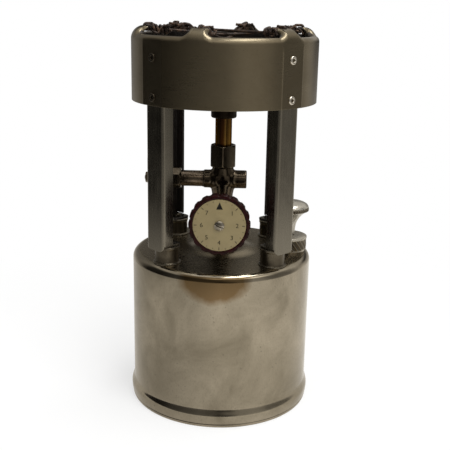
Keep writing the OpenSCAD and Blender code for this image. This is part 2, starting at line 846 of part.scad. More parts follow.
// Valve: column on the tank, hub with two cross arms, spigot on top and a boss to the front
module valve_body() {
    column_z = top_z + lock_nut_h;
    color("#6e675b")
    difference() {
        union() {
            translate([0, 0, top_z - shank_drop]) cylinder(d = shank_d, h = shank_drop + lock_nut_h + eps);
            translate([0, 0, column_z]) cylinder(d = column_d, h = valve_z - column_z);
            translate([0, 0, valve_z]) sphere(r = hub_r);
            translate([0, 0, valve_z]) cylinder(d = column_d, h = gen_nut_z - valve_z);
            translate([0, 0, valve_z]) cylinder(d = spigot_d, h = spigot_top - valve_z);
            translate([0, 0, valve_z]) to_right() cylinder(d = arm_d, h = arm_right);
            translate([0, 0, valve_z]) to_left() cylinder(d = arm_d, h = arm_left);
            translate([0, 0, wheel_z]) to_front() cylinder(d = boss_d, h = boss_reach);
        }
        translate([0, 0, wheel_z]) cylinder(d = passage_d, h = spigot_top - wheel_z + eps);
        translate([0, 0, top_z - shank_drop - eps]) cylinder(d = pickup_d + 2 * seat_gap, h = shank_drop);
        translate([0, 0, top_z - eps]) cylinder(d = passage_d / 2, h = wheel_z - top_z);
        translate([0, 0, valve_z]) to_left() cylinder(d = cleaner_bore_d, h = arm_left + eps);
        translate([0, 0, valve_z]) to_right() cylinder(d = plug_d + 2 * seat_gap, h = arm_right + eps);
        translate([0, 0, wheel_z]) to_front() cylinder(d = stem_bore_d, h = boss_reach + eps);
        translate([0, -boss_reach + packing_len, wheel_z])
            to_front() cylinder(d = packing_d + 2 * seat_gap, h = packing_len + eps);
    }
}

module valve_lock_nut() {
    color("#8c8474")
    translate([0, 0, top_z])
        difference() {
            rotate([0, 0, 30]) hex(lock_nut_af, lock_nut_h);
            translate([0, 0, -eps]) cylinder(d = shank_d + 2 * seat_gap, h = lock_nut_h + 2 * eps);
        }
}

// Slotted plug that closes the right arm
module end_plug() {
    color("#877c63")
    translate([arm_right - plug_len, 0, valve_z])
        to_right() slotted_head(plug_d, plug_len);
}

// Pickup tube that hangs from the valve's shank almost to the tank floor
module fuel_pickup() {
    bottom = floor_h + tank_wall + pickup_gap;
    color("#a88542")
    translate([0, 0, bottom]) ring(pickup_d / 2, pickup_d / 2 - pickup_wall, top_z - bottom - pickup_seat);
}

// Stem from the valve seat out through the packing to the wheel, tapped for the wheel screw
module valve_stem() {
    color("#8f8a80")
    translate([0, -stem_seat, wheel_z])
        to_front()
            difference() {
                cylinder(d = stem_d, h = stem_end - stem_seat);
                translate([0, 0, stem_end - stem_seat - wheel_screw_bite])
                    cylinder(d = wheel_screw_d + 2 * seat_gap, h = wheel_screw_bite + eps);
            }
}

module stem_packing() {
    color("#3a3835")
    translate([0, -boss_reach + packing_len, wheel_z])
        to_front() ring(packing_d / 2, stem_bore_d / 2, packing_len);
}

module packing_nut() {
    color("#8b8270")
    translate([0, -boss_reach, wheel_z])
        to_front()
            difference() {
                rotate([0, 0, 30]) hex(pack_nut_af, pack_nut_len);
                translate([0, 0, -eps]) cylinder(d = stem_bore_d, h = pack_nut_len + 2 * eps);
            }
}

// Fluted wheel with a hub behind and a recess for the dial plate in front
module hand_wheel() {
    color("#2b1216")
    translate([0, -wheel_back, wheel_z])
        to_front()
            difference() {
                union() {
                    cylinder(r = wheel_r, h = wheel_t);
                    translate([0, 0, -wheel_hub_len]) cylinder(d = wheel_hub_d, h = wheel_hub_len + eps);
                }
                translate([0, 0, wheel_t - dial_recess])
                    cylinder(d = dial_d + 2 * seat_gap, h = dial_recess + eps);
                translate([0, 0, -wheel_hub_len - eps])
                    cylinder(d = stem_d + 2 * seat_gap, h = wheel_hub_len + wheel_t);
                for (i = [0 : wheel_flutes - 1])
                    rotate([0, 0, (i + 0.5) * 360 / wheel_flutes])
                        translate([wheel_r + flute_r - flute_depth, 0, -eps])
                            cylinder(r = flute_r, h = wheel_t + 2 * eps, $fn = 32);
            }
}

module dial_plate() {
    color("#cbbf96")
    translate([0, -wheel_reach + dial_recess, wheel_z])
        to_front() ring(dial_d / 2, wheel_screw_d / 2 + seat_gap, dial_t);
}

module wheel_screw() {
    shank = dial_face - stem_end + wheel_screw_bite - wheel_screw_spare;
    color("#b8b2a4")
    translate([0, -dial_face, wheel_z])
        to_front() {
            rotate([0, 0, wheel_screw_turn]) slotted_head(wheel_screw_head_d, wheel_screw_head_h);
            translate([0, 0, -shank]) cylinder(d = wheel_screw_d, h = shank + eps);
        }
}

// Tip cleaner: a tube on the left arm, its gland nut, the cranked shaft and the lever
module cleaner_tube() {
    color("#7d7260")
    translate([-arm_left, 0, valve_z])
        to_left() ring(cleaner_d / 2, cleaner_bore_d / 2, cleaner_reach - arm_left);
}

module cleaner_nut() {
    color("#8a7f6a")
    translate([-cleaner_reach, 0, valve_z])
        to_left()
            difference() {
                chamfered_hex(cleaner_nut_af, cleaner_nut_len);
                translate([0, 0, -eps])
                    cylinder(d = cleaner_shaft_d + 2 * run_gap, h = cleaner_nut_len + 2 * eps);
            }
}

module cleaner_shaft() {
    inner = crank_pin_len / 2;
    color("#9c978b")
    translate([-inner, 0, valve_z]) {
        to_left() cylinder(d = cleaner_shaft_d, h = lever_in - inner);
        translate([0, crank_throw, 0]) to_right() cylinder(d = crank_pin_d, h = crank_pin_len);
        translate([-lever_in + inner, 0, 0])
            to_left() cylinder(d = stud_d, h = lever_t + lever_nut_t + stud_out);
        translate([-lever_in + inner, 0, 0])
            to_right() cylinder(d = collar_d, h = lever_in - cleaner_end - move_gap);
    }
}

module cleaner_lever() {
    color("#8e8778")
    translate([-lever_in, 0, valve_z])
        to_left()
            difference() {
                union() {
                    cylinder(d = lever_hub_d, h = lever_t);
                    translate([0, -lever_w / 2, 0]) cube([lever_len - lever_w / 2, lever_w, lever_t]);
                    translate([lever_len - lever_w / 2, 0, 0]) cylinder(d = lever_w, h = lever_t);
                }
                translate([0, 0, -eps])
                    cylinder(d = stud_d + 2 * seat_gap, h = lever_t + 2 * eps);
            }
}

module lever_nut() {
    color("#a29a86")
    translate([-lever_reach, 0, valve_z])
        to_left()
            difference() {
                hex(lever_nut_af, lever_nut_t);
                translate([0, 0, -eps])
                    cylinder(d = stud_d + 2 * seat_gap, h = lever_nut_t + 2 * eps);
            }
}

// Pump: barrel soldered into the tank top, with a threaded spigot for the cap
module pump_barrel() {
    color("#a79a78")
    translate([pump_x, 0, 0]) {
        translate([0, 0, barrel_z]) ring(barrel_r, barrel_in_r, tank_h - barrel_z + eps);
        translate([0, 0, tank_h]) ring(barrel_flange_r, barrel_in_r, barrel_flange_h);
        translate([0, 0, tank_h]) ring(barrel_r, barrel_in_r, barrel_flange_h + pump_spigot_h);
    }
}

// Check valve at the foot of the barrel: a plug with a ball seat
module check_valve() {
    color("#b39449")
    translate([pump_x, 0, barrel_z])
        difference() {
            cylinder(r = barrel_in_r - seat_gap, h = check_h);
            translate([0, 0, -eps]) cylinder(d = check_bore_d, h = check_h + 2 * eps);
            translate([0, 0, check_plate]) cylinder(d = ball_d + 2 * move_gap, h = ball_d + 2 * move_gap);
        }
}
module check_ball() {
    color("#c8c6c0")
    translate([pump_x, 0, barrel_z + check_plate + ball_rest]) sphere(d = ball_d);
}

module pump_cap() {
    edge = [pump_cap_d / 2 - pump_cap_round, pump_cap_h - pump_cap_slope - pump_cap_round];
    color("#b3ad9f")
    translate([pump_x, 0, pump_cap_z])
        difference() {
            intersection() {
                knurled(pump_cap_d / 2, pump_cap_h);
                rotate_extrude()
                    polygon(concat(
                        [[0, 0], [pump_cap_d / 2, 0]],
                        arc(edge, pump_cap_round, 0, 90, 4),
                        [[rod_d, pump_cap_h], [0, pump_cap_h]]
                    ));
            }
            translate([0, 0, -eps]) cylinder(r = barrel_r + seat_gap, h = pump_spigot_h + move_gap);
            cylinder(d = rod_d + 2 * run_gap, h = pump_cap_h + eps);
        }
}

// Hollow rod with a collar that stops against the cap at the end of the stroke
module pump_rod() {
    color("#b8b4a8")
    translate([pump_x, 0, 0]) {
        translate([0, 0, cup_z]) ring(rod_d / 2, rod_bore_d / 2, knob_z - run_gap - cup_z);
        translate([0, 0, stop_top - stop_h]) ring(stop_d / 2, rod_bore_d / 2, stop_h);
    }
}

// Leather cup that slides in the barrel
module pump_cup() {
    color("#5b4028")
    translate([pump_x, 0, cup_z])
        difference() {
            cylinder(r = barrel_in_r - run_gap, h = cup_h);
            translate([0, 0, -eps]) cylinder(r = barrel_in_r - run_gap - cup_t, h = cup_h - cup_t + eps);
            cylinder(d = rod_d + 2 * seat_gap, h = cup_h + eps);
        }
}
module cup_nut() {
    color("#a48b4c")
    translate([pump_x, 0, cup_z + cup_h - cup_t - cup_nut_h])
        difference() {
            cylinder(r = barrel_in_r - run_gap - cup_t - move_gap, h = cup_nut_h);
            translate([0, 0, -eps]) cylinder(d = rod_d + 2 * seat_gap, h = cup_nut_h + 2 * eps);
        }
}

// Air stem that turns inside the hollow rod with the knob
module air_stem() {
    color("#a8a498")
    translate([pump_x, 0, cup_z]) cylinder(d = air_stem_d, h = knob_z - cup_z + knob_h / 2);
}

module pump_knob() {
    knob_r = knob_d / 2;
    rim_z = knob_h - knob_dome_h - knob_rim_h;
    flare = knob_r - knob_stem_r - knob_lip;
    color("#c2bdaf")
    translate([pump_x, 0, knob_z])
        difference() {
            rotate_extrude()
                polygon(concat(
                    [[0, 0]],
                    [for (i = [0 : 8]) [knob_stem_r + flare * pow(i / 8, 3), rim_z * i / 8]],
                    [[knob_r, rim_z + knob_lip_h], [knob_r, rim_z + knob_rim_h]],
                    [for (i = [1 : 6]) [knob_r * cos(15 * i), rim_z + knob_rim_h + knob_dome_h * sin(15 * i)]]
                ));
            translate([0, 0, -eps]) cylinder(d = air_stem_d + 2 * seat_gap, h = knob_h / 2 + seat_gap);
        }
}

// Filler: neck in the tank top, gasket and a knurled cap with its air screw
module filler_neck() {
    color("#a89d82")
    translate([0, filler_y, 0]) {
        translate([0, 0, tank_h]) ring(filler_neck_r, filler_bore_r, filler_neck_h);
        translate([0, 0, tank_h - filler_neck_drop])
            ring(filler_neck_r - tank_wall, filler_bore_r, filler_neck_drop + eps);
    }
}
module filler_gasket() {
    color("#2e2a27")
    translate([0, filler_y, gasket_z]) ring(filler_neck_r, filler_bore_r, gasket_t);
}
module filler_cap() {
    color("#aaa495")
    translate([0, filler_y, filler_cap_z])
        difference() {
            knurled(filler_cap_r, filler_cap_h);
            translate([0, 0, -eps]) cylinder(r = filler_neck_r + move_gap, h = filler_cap_bore_h + eps);
            cylinder(d = filler_screw_d + 2 * seat_gap, h = filler_cap_h + eps);
        }
}
module filler_screw() {
    color("#9b9484")
    translate([0, filler_y, filler_cap_z]) {
        translate([0, 0, filler_cap_bore_h])
            cylinder(d = filler_screw_d, h = filler_cap_h - filler_cap_bore_h + eps);
        translate([0, 0, filler_cap_h]) knurled(filler_screw_head_d / 2, filler_screw_head_h);
    }
}

tank_shell();
tank_base();
leg_post_fl();
leg_post_fr();
leg_post_rl();
leg_post_rr();
leg_fl();
leg_fr();
leg_rl();
leg_rr();
leg_screws();
burner_drum();
drum_rivets();
grate_wire_a();
grate_wire_b();
grate_wire_c();
burner_bowl();
flame_rings_flat();
flame_rings_slotted();
burner_cap();
burner_screw();
mixing_tube();
generator_nut();
gas_tip();
cleaning_needle();
valve_body();
valve_lock_nut();
end_plug();
fuel_pickup();
valve_stem();
stem_packing();
packing_nut();
hand_wheel();
dial_plate();
wheel_screw();
cleaner_tube();
cleaner_nut();
cleaner_shaft();
cleaner_lever();
lever_nut();
pump_barrel();
check_valve();
check_ball();
pump_cap();
pump_rod();
pump_cup();
cup_nut();
air_stem();
pump_knob();
filler_neck();
filler_gasket();
filler_cap();
filler_screw();
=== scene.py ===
"""Looks of a single-burner pocket gasoline stove: refined meshes, procedural materials, studio and camera.

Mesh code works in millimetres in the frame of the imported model: +Z up, -Y to the front, +X to the pump.
"""

import json
import math
import random

import bmesh
import bpy
import numpy as np
from mathutils import Matrix, Vector

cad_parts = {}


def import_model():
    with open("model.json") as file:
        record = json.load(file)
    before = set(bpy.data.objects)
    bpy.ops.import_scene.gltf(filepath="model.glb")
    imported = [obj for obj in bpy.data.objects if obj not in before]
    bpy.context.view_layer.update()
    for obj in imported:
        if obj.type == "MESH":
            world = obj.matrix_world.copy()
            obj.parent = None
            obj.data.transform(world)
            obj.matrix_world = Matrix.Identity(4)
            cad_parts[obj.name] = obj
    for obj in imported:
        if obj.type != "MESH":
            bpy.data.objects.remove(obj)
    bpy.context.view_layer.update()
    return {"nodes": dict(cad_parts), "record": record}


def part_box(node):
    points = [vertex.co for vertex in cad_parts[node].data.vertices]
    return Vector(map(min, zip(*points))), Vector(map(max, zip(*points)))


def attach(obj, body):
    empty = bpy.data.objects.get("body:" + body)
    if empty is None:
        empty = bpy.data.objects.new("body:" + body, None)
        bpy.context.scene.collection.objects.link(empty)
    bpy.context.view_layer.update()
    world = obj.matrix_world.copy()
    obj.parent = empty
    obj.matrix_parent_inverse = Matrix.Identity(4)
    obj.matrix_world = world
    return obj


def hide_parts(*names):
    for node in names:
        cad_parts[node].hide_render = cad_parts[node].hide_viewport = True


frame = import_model()

MM = 0.001
PI = math.pi


def span(node):
    """Lowest and highest corner of a CAD node, in millimetres."""
    return [np.array(corner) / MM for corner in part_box(node)]


def heights(node):
    """Lowest and highest z of a CAD node."""
    return [corner[2] for corner in span(node)]


# Driving sizes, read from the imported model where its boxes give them
TANK_R = 51.0
FOOT_R = span("tank_shell")[1][0]
CROWN_TOP = heights("tank_shell")[1]
TANK_TOP, POST_TOP = heights("leg_post_fl")
SHEET = 1.0
LEG_ANGLES = {"fl": -135, "fr": -45, "rl": 135, "rr": 45}
LEG_W = 14.0
LEG_T = 1.2
LEG_FLANGE = 7.0
LEG_A = 49.258  # from the axis to the outer face of a leg's web
LEG_LOW, LEG_TOP = heights("leg_fl")
POST_R = 7.0
POST_GAP = 0.3
POST_PITCH = LEG_A - LEG_T - POST_GAP - POST_R
DRUM_R = 50.8
DRUM_LOW, DRUM_TOP = heights("burner_drum")
FLAT_A = LEG_A + SHEET  # from the axis to a flat of the drum
LIP_Z = 210.9
LOBE_ROLL = 7.0
LOBE_TIP = 2.0
LOBE_ANGLES = [-45 + 60 * i for i in range(6)]
VALVE_Z = 128.4
WHEEL_Z = 112.4
WHEEL_FACE = -span("hand_wheel")[0][1]
PUMP_X = 39.0
FILLER_Y = 33.0

FRONT = Matrix.Rotation(PI / 2, 4, "X")
LEFT = Matrix.Rotation(-PI / 2, 4, "Y")
RIGHT = Matrix.Rotation(PI / 2, 4, "Y")


def move(x, y, z):
    return Matrix.Translation((x, y, z))


def turn(degrees):
    return Matrix.Rotation(math.radians(degrees), 4, "Z")


# Mesh building


def ease(t):
    """0 to 1 with a level start and end."""
    return t * t * (3 - 2 * t)


def rounded(points, radius, steps=5):
    """Line of points with its corners rounded. radius is one number, or one for each inner point."""
    most = 0.48  # share of a side that one corner may take
    points = [np.array(p, float) for p in points]
    inner = points[1:-1]
    radii = [radius] * len(inner) if np.isscalar(radius) else radius
    out = [points[0]]
    for before, here, after, r in zip(points, inner, points[2:], radii):
        back, on = before - here, after - here
        lengths = np.linalg.norm(back), np.linalg.norm(on)
        reach = min(r, most * lengths[0], most * lengths[1])
        if reach <= 0:
            out.append(here)
            continue
        start, end = here + back / lengths[0] * reach, here + on / lengths[1] * reach
        for u in np.linspace(0, 1, steps):
            out.append((1 - u) ** 2 * start + 2 * u * (1 - u) * here + u * u * end)
    out.append(points[-1])
    return out


def dense(points, gap):
    """Line of points with no step longer than gap."""
    out = [points[0]]
    for a, b in zip(points, points[1:]):
        count = max(1, math.ceil(np.linalg.norm(np.subtract(b, a)) / gap))
        out += [tuple(np.array(a) + (np.array(b) - a) * t) for t in np.linspace(0, 1, count + 1)[1:]]
    return out


def skin(rows, loop=False):
    """Surface through rings with equal numbers of points. A ring shrunk to one place becomes one point."""
    verts, index = [], []
    for row in rows:
        row = np.asarray(row, float)
        if np.ptp(row, axis=0).max() < 1e-6:
            index.append([len(verts)] * len(row))
            verts.append(row[0])
        else:
            index.append(list(range(len(verts), len(verts) + len(row))))
            verts.extend(row)
    faces = []
    pairs = list(zip(index, index[1:])) + ([(index[-1], index[0])] if loop else [])
    for a, b in pairs:
        for k in range(len(a)):
            n = (k + 1) % len(a)
            face = list(dict.fromkeys((a[k], a[n], b[n], b[k])))
            if len(face) > 2:
                faces.append(face)
    return np.array(verts), faces


def lathe(profile, sides=96, loop=False, shape=None):
    """Line of (r, z) points turned about Z. shape(angles, r, z) gives the radius at each angle."""
    angles = np.linspace(0, 2 * PI, sides, endpoint=False)
    rows = []
    for r, z in profile:
        radius = shape(angles, r, z) if shape else r
        rows.append(np.stack([radius * np.cos(angles), radius * np.sin(angles), np.full(sides, z)], 1))
    return skin(rows, loop)


def inset(outline, edge):
    """Closed outline, anticlockwise, moved inwards by edge."""
    flat = np.array(outline, float)
    ahead, behind = np.roll(flat, -1, 0) - flat, flat - np.roll(flat, 1, 0)
    ahead /= np.linalg.norm(ahead, axis=1)[:, None]
    behind /= np.linalg.norm(behind, axis=1)[:, None]
    inward = np.stack([-(ahead + behind)[:, 1], (ahead + behind)[:, 0]], 1)
    inward /= np.maximum(np.linalg.norm(inward, axis=1), 1e-9)[:, None]
    return flat + inward * edge


def wall(outline, low, high, edge):
    """Side of an outline pulled up from low, which may differ from point to point, with broken end edges."""
    flat, small = np.array(outline, float), inset(outline, edge)
    low = np.broadcast_to(low, len(flat))
    top = np.full(len(flat), high)
    rows = [(small, low), (flat, low + edge), (flat, top - edge), (small, top)]
    return skin([np.column_stack(row) for row in rows])


def prism(outline, low, high, edge=0.15):
    """Flat outline pulled up from low to high."""
    verts, faces = wall(outline, low, high, edge)
    n = len(outline)
    return verts, faces + [list(range(n))[::-1], list(range(3 * n, 4 * n))]


def bent_sheet(outer, inner, low, high, edge=0.15):
    """Sheet bent to a section between two lines of equal length. low is the height of its foot along them."""
    verts, faces = wall(list(outer) + list(inner)[::-1], list(low) + list(low)[::-1], high, edge)
    n = 2 * len(outer)
    for first in (0, 3 * n):
        for k in range(len(outer) - 1):
            faces.append([first + k, first + k + 1, first + n - 2 - k, first + n - 1 - k])
    return verts, faces


def tube(path, radius, sides):
    """Round bar along a path, with closed ends."""
    path = np.array(path, float)
    along = np.gradient(path, axis=0)
    along /= np.linalg.norm(along, axis=1)[:, None]
    side = np.cross(along[0], (0.3, 0.2, 1.0))
    a = np.linspace(0, 2 * PI, sides, endpoint=False)[:, None]
    rows = []
    for p, t in zip(path, along):
        side = side - t * side.dot(t)
        side /= np.linalg.norm(side)
        rows.append(p + radius * (np.cos(a) * side + np.sin(a) * np.cross(t, side)))
    ends = [np.repeat(path[i][None], sides, 0) for i in (0, -1)]
    return skin([ends[0], *rows, ends[1]])


def smooth_path(points, steps):
    """Curve through points, each stretch cut into steps."""
    p = np.array([points[0], *points, points[-1]], float)
    out = []
    for a, b, c, d in zip(p, p[1:], p[2:], p[3:]):
        square, cube = 2 * a - 5 * b + 4 * c - d, 3 * b - a - 3 * c + d
        for u in np.linspace(0, 1, steps, endpoint=False):
            out.append(0.5 * (2 * b + (c - a) * u + square * u * u + cube * u**3))
    return np.array(out + [p[-1]])


def nut(flats, low, high, bore, chamfer):
    """Hexagonal nut with turned chamfers, a flat face towards +X and slightly worn corners."""
    worn, face, fall, mouth = 0.985, 0.95, 0.7, 0.3
    apothem = flats / 2
    corner = apothem / math.cos(PI / 6)

    def hexagon(angles, r, z):
        side = np.minimum(apothem / np.cos((angles + PI / 6) % (PI / 3) - PI / 6), corner * worn)
        return np.minimum(side, r)

    rises = np.array([0, 0.08, 0.2, 0.36, 0.55, 0.8, 1.0])
    limits = apothem * face + (corner - apothem * face) * rises**fall
    profile = list(zip(limits, low + chamfer * rises)) + list(zip(limits, high - chamfer * rises))[::-1]
    profile += [(bore + mouth, high), (bore, high - mouth), (bore, low + mouth), (bore + mouth, low)]
    return lathe(profile, loop=True, shape=hexagon)


def screw_head(diameter, low, high, slot=0.9, depth=0.8):
    """Domed head with a straight slot along X."""
    dome, fullness, slot_edge = 0.45, 2.6, 0.06
    radius = diameter / 2
    crown = [(radius * t, high - (high - low) * dome * t**fullness) for t in np.linspace(1, 0, 17)]
    verts, faces = lathe([(radius, low), *crown])
    cut = np.clip((slot / 2 + slot_edge - np.abs(verts[:, 1])) / (2 * slot_edge), 0, 1)
    verts[:, 2] = np.maximum(low, verts[:, 2] - depth * cut)
    return verts, faces


def placed(part, *steps):
    """A part after one or more moves, the last one first, as written in front of it."""
    matrix = np.eye(4)
    for step in steps:
        matrix = matrix @ np.array(step)
    verts, faces = part
    return verts @ matrix[:3, :3].T + matrix[:3, 3], faces


def spun(line, sides, *steps, **more):
    """A turned part in its place, as the only part of a piece."""
    return [placed(lathe(line, sides, **more), *steps)]


def joined(parts):
    verts, faces, count = [], [], 0
    for v, f in parts:
        verts.append(v)
        faces += [[i + count for i in face] for face in f]
        count += len(v)
    return np.concatenate(verts), faces


def piece(name, parts, finish, nodes=(), body="stove", crease=38):
    """A visible mesh that rides on a body and stands for CAD nodes. finish names its material."""
    verts, faces = joined(parts)
    mesh = bpy.data.meshes.new(name)
    mesh.from_pydata((verts * MM).tolist(), [], faces)
    work = bmesh.new()
    work.from_mesh(mesh)
    bmesh.ops.recalc_face_normals(work, faces=work.faces)
    work.to_mesh(mesh)
    work.free()
    mesh.shade_smooth()
    mesh.set_sharp_from_angle(angle=math.radians(crease))
    obj = bpy.data.objects.new(name, mesh)
    bpy.context.collection.objects.link(obj)
    mesh.materials.append(materials[finish])
    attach(obj, body)
    if nodes:
        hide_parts(*nodes)


def nut_piece(name, part, node, body="stove"):
    """A hexagonal nut, shaded flat on its faces."""
    piece(name, [part], "nut_bronze", [node], body, 24)


# Material building


class Shader:
    """One node material: each call adds a node and gives back its output socket."""

    def __init__(self, name):
        self.material = bpy.data.materials.new(f"{name}_look")
        self.material.use_nodes = True
        self.tree = self.material.node_tree
        self.main = self.tree.nodes["Principled BSDF"]
        self.place = self.tree.nodes.new("ShaderNodeTexCoord").outputs["Object"]

    def node(self, kind, settings=(), **inputs):
        """A node itself. An input is named by its label, or by _ and its number."""
        node = self.tree.nodes.new("ShaderNode" + kind)
        for key, value in dict(settings).items():
            setattr(node, key, value)
        for key, value in inputs.items():
            self.feed(node.inputs[int(key[1:]) if key[0] == "_" else key], value)
        return node

    def feed(self, socket, value):
        if isinstance(value, bpy.types.NodeSocket):
            self.tree.links.new(value, socket)
        elif isinstance(value, tuple) and len(value) == 3 and socket.type == "RGBA":
            socket.default_value = (*value, 1)
        else:
            socket.default_value = value

    def set(self, **inputs):
        for key, value in inputs.items():
            self.feed(self.main.inputs[key.replace("_", " ")], value)

    def surface(self, shader):
        """Puts another shader in the place of the main one."""
        self.tree.nodes.remove(self.main)
        self.tree.links.new(shader.outputs[0], self.tree.nodes["Material Output"].inputs["Surface"])

    def stretch(self, x, y, z, vector=None):
        node = self.node("Mapping", Vector=vector or self.place)
        node.inputs["Scale"].default_value = (x, y, z)
        return node.outputs[0]

    def wrap(self):
        """(around the axis, radius, height) in metres, for grain that follows a round piece."""
        xyz = self.node("SeparateXYZ", _0=self.place)
        around = self.math("MULTIPLY", self.math("ARCTAN2", xyz.outputs[1], xyz.outputs[0]), 0.05)
        length = self.node("VectorMath", {"operation": "LENGTH"}, _0=self.stretch(1, 1, 0)).outputs["Value"]
        return self.node("CombineXYZ", X=around, Y=length, Z=xyz.outputs[2]).outputs[0]

    def math(self, operation, a, b=0.0):
        return self.node("Math", {"operation": operation}, _0=a, _1=b).outputs[0]

    def noise(self, scale, detail=4.0, rough=0.55, warp=0.0, vector=None):
        place = vector or self.place
        return self.node(
            "TexNoise", Vector=place, Scale=scale, Detail=detail, Roughness=rough, Distortion=warp
        ).outputs[0]

    def range(self, value, low, high, to_low=0.0, to_high=1.0):
        node = self.node("MapRange", {"clamp": True}, Value=value)
        for key, number in (("From Min", low), ("From Max", high), ("To Min", to_low), ("To Max", to_high)):
            node.inputs[key].default_value = number
        return node.outputs[0]

    def mix(self, factor, a, b):
        node = self.node("Mix", {"data_type": "RGBA"}, _0=factor, _6=a, _7=b)
        return node.outputs[2]

    def ramp(self, factor, stops):
        node = self.node("ValToRGB", Fac=factor)
        elements = node.color_ramp.elements
        while len(elements) < len(stops):
            elements.new(0.5)
        for element, (at, colour) in zip(elements, stops):
            element.position, element.color = at, (*colour, 1)
        return node.outputs[0]

    def bump(self, height, strength, depth_mm, under=None):
        node = self.node("Bump", Height=height, Strength=strength, Distance=depth_mm * MM)
        if under:
            self.feed(node.inputs["Normal"], under)
        return node.outputs[0]

    def edges(self, low=0.51, high=0.56):
        """1 on outer edges, where rubbing wear and a painted edge highlight go."""
        return self.range(self.node("NewGeometry").outputs["Pointiness"], low, high)


def worn_metal(
    name, tint, stain, rough, cloud, grain=(900, 900, 60), wrap=False, soot=None, bright=None, inner=None,
    wave=0.0, relief=0.12, metal=1.0,
):
    """Plated or turned metal: cloudy handling marks, fine grain along one way, specks, and rubbed edges with
    a painted highlight.

    rough is the lowest and highest roughness, and cloud and grain are how fine the marks are. soot colours
    patches, bright colours edges (rubbed wear and a painted highlight), inner paints the side towards the
    axis with soot and painted shade, and wave dents the sheet.
    """
    s = Shader(name)
    clouds = s.noise(cloud, detail=5, rough=0.6, warp=0.6)
    fine = s.noise(1.0, detail=3, rough=0.7, vector=s.stretch(*grain, vector=s.wrap() if wrap else None))
    specks = s.range(s.noise(700, detail=2), 0.68, 0.76)
    colour = s.mix(s.range(clouds, 0.35, 0.68), tint, stain)
    colour = s.mix(s.range(fine, 0.4, 0.75, 0.0, 0.25), colour, tuple(0.72 * c for c in tint))
    colour = s.mix(s.math("MULTIPLY", specks, 0.5), colour, tuple(0.35 * c for c in stain))
    if soot:
        colour = s.mix(s.range(s.noise(cloud * 2.3, detail=6, warp=1.2), 0.52, 0.75), colour, soot)
    # Edges take the bright colour: rubbed wear, and a painted edge highlight.
    if bright:
        colour = s.mix(s.edges(), colour, bright)
    low, high = rough
    roughness = s.math("ADD", s.range(clouds, 0.3, 0.72, low, high), s.range(fine, 0.35, 0.7, -0.03, 0.05))
    # The side towards the axis takes the inner colour: soot, and painted shade inside the stove.
    if inner:
        way, out = s.node("NewGeometry").outputs["Normal"], s.stretch(1, 1, 0)
        facing = s.node("VectorMath", {"operation": "DOT_PRODUCT"}, _0=way, _1=out).outputs["Value"]
        soot_and_shade = s.range(facing, -0.001, -0.004)
        colour = s.mix(soot_and_shade, colour, inner)
        roughness = s.math("ADD", roughness, s.math("MULTIPLY", soot_and_shade, 0.3))
        metal = s.math("SUBTRACT", 1.0, soot_and_shade)
    normal = s.bump(fine, relief, 0.05)
    if wave:
        normal = s.bump(s.noise(38, detail=2), wave, 1.0, normal)
    s.set(Base_Color=colour, Metallic=metal, Roughness=roughness, Normal=normal)
    return s


def tank_nickel():
    """Old nickel plate, cloudy with handling, worn through to the brass under the hand wheel."""
    tint, stain, grain = (0.412, 0.364, 0.283), (0.25, 0.218, 0.162), (260, 1300, 1500)
    scratch, top_tint = (0.16, 0.138, 0.1), (0.3, 0.24, 0.145)
    patch_x, patch_z, patch_w, patch_h = -0.002, 0.0865, 0.0195, 0.0145
    s = worn_metal("tank_nickel", tint, stain, (0.07, 0.17), 34, grain, wrap=True, wave=0.05)
    x, y, z = s.node("SeparateXYZ", _0=s.place).outputs
    across = s.math("MULTIPLY", s.math("SUBTRACT", x, patch_x), 1 / patch_w)
    down = s.math("MULTIPLY", s.math("SUBTRACT", z, patch_z), 1 / patch_h)
    reach = s.math("ADD", s.math("MULTIPLY", across, across), s.math("MULTIPLY", down, down))
    reach = s.math("ADD", reach, s.range(s.noise(160), 0.3, 0.7, -0.12, 0.12))
    on_wall = s.range(z, 0.0862, 0.0868, 1.0, 0.0)
    to_front = s.range(y, -0.044, -0.046)
    patch = s.math("MULTIPLY", s.math("MULTIPLY", s.range(reach, 1.22, 0.66), on_wall), to_front)
    plain = s.main.inputs["Base Color"].links[0].from_socket
    scratches = s.noise(1.0, detail=2, rough=0.7, vector=s.stretch(1300, 1300, 620))
    plain = s.mix(s.range(scratches, 0.5, 0.72, 0.0, 0.2), plain, scratch)
    brass = s.ramp(s.range(z, 0.072, 0.086), [(0.0, (0.205, 0.13, 0.06)), (1.0, (0.12, 0.076, 0.03))])
    polish = s.main.inputs["Roughness"].links[0].from_socket
    top = s.range(z, 0.0872, 0.08745)
    worn = s.mix(s.math("MULTIPLY", patch, 0.92), plain, brass)
    s.set(
        Base_Color=s.mix(s.math("MULTIPLY", top, 0.5), worn, top_tint),
        Roughness=s.math("ADD", polish, s.math("MULTIPLY", top, 0.14)),
    )
    return s.material


def drum_steel():
    """Sheet brushed round the drum, so that reflections smear up and down, with a dark inside of soot and
    painted shade.
    """
    tint, stain, bright = (0.224, 0.189, 0.129), (0.17, 0.141, 0.093), (0.42, 0.38, 0.3)
    look = tint, stain, (0.26, 0.36), 36, (90, 1, 1900)
    # inner darkens the inside of the drum: soot, and painted shade.
    s = worn_metal("drum_steel", *look, wrap=True, bright=bright, inner=SOOT_AND_SHADE, wave=0.03)
    round_z = s.node("Tangent", {"direction_type": "RADIAL", "axis": "Z"}).outputs[0]
    s.set(Anisotropic=0.7, Anisotropic_Rotation=0.25, Tangent=round_z)
    return s.material


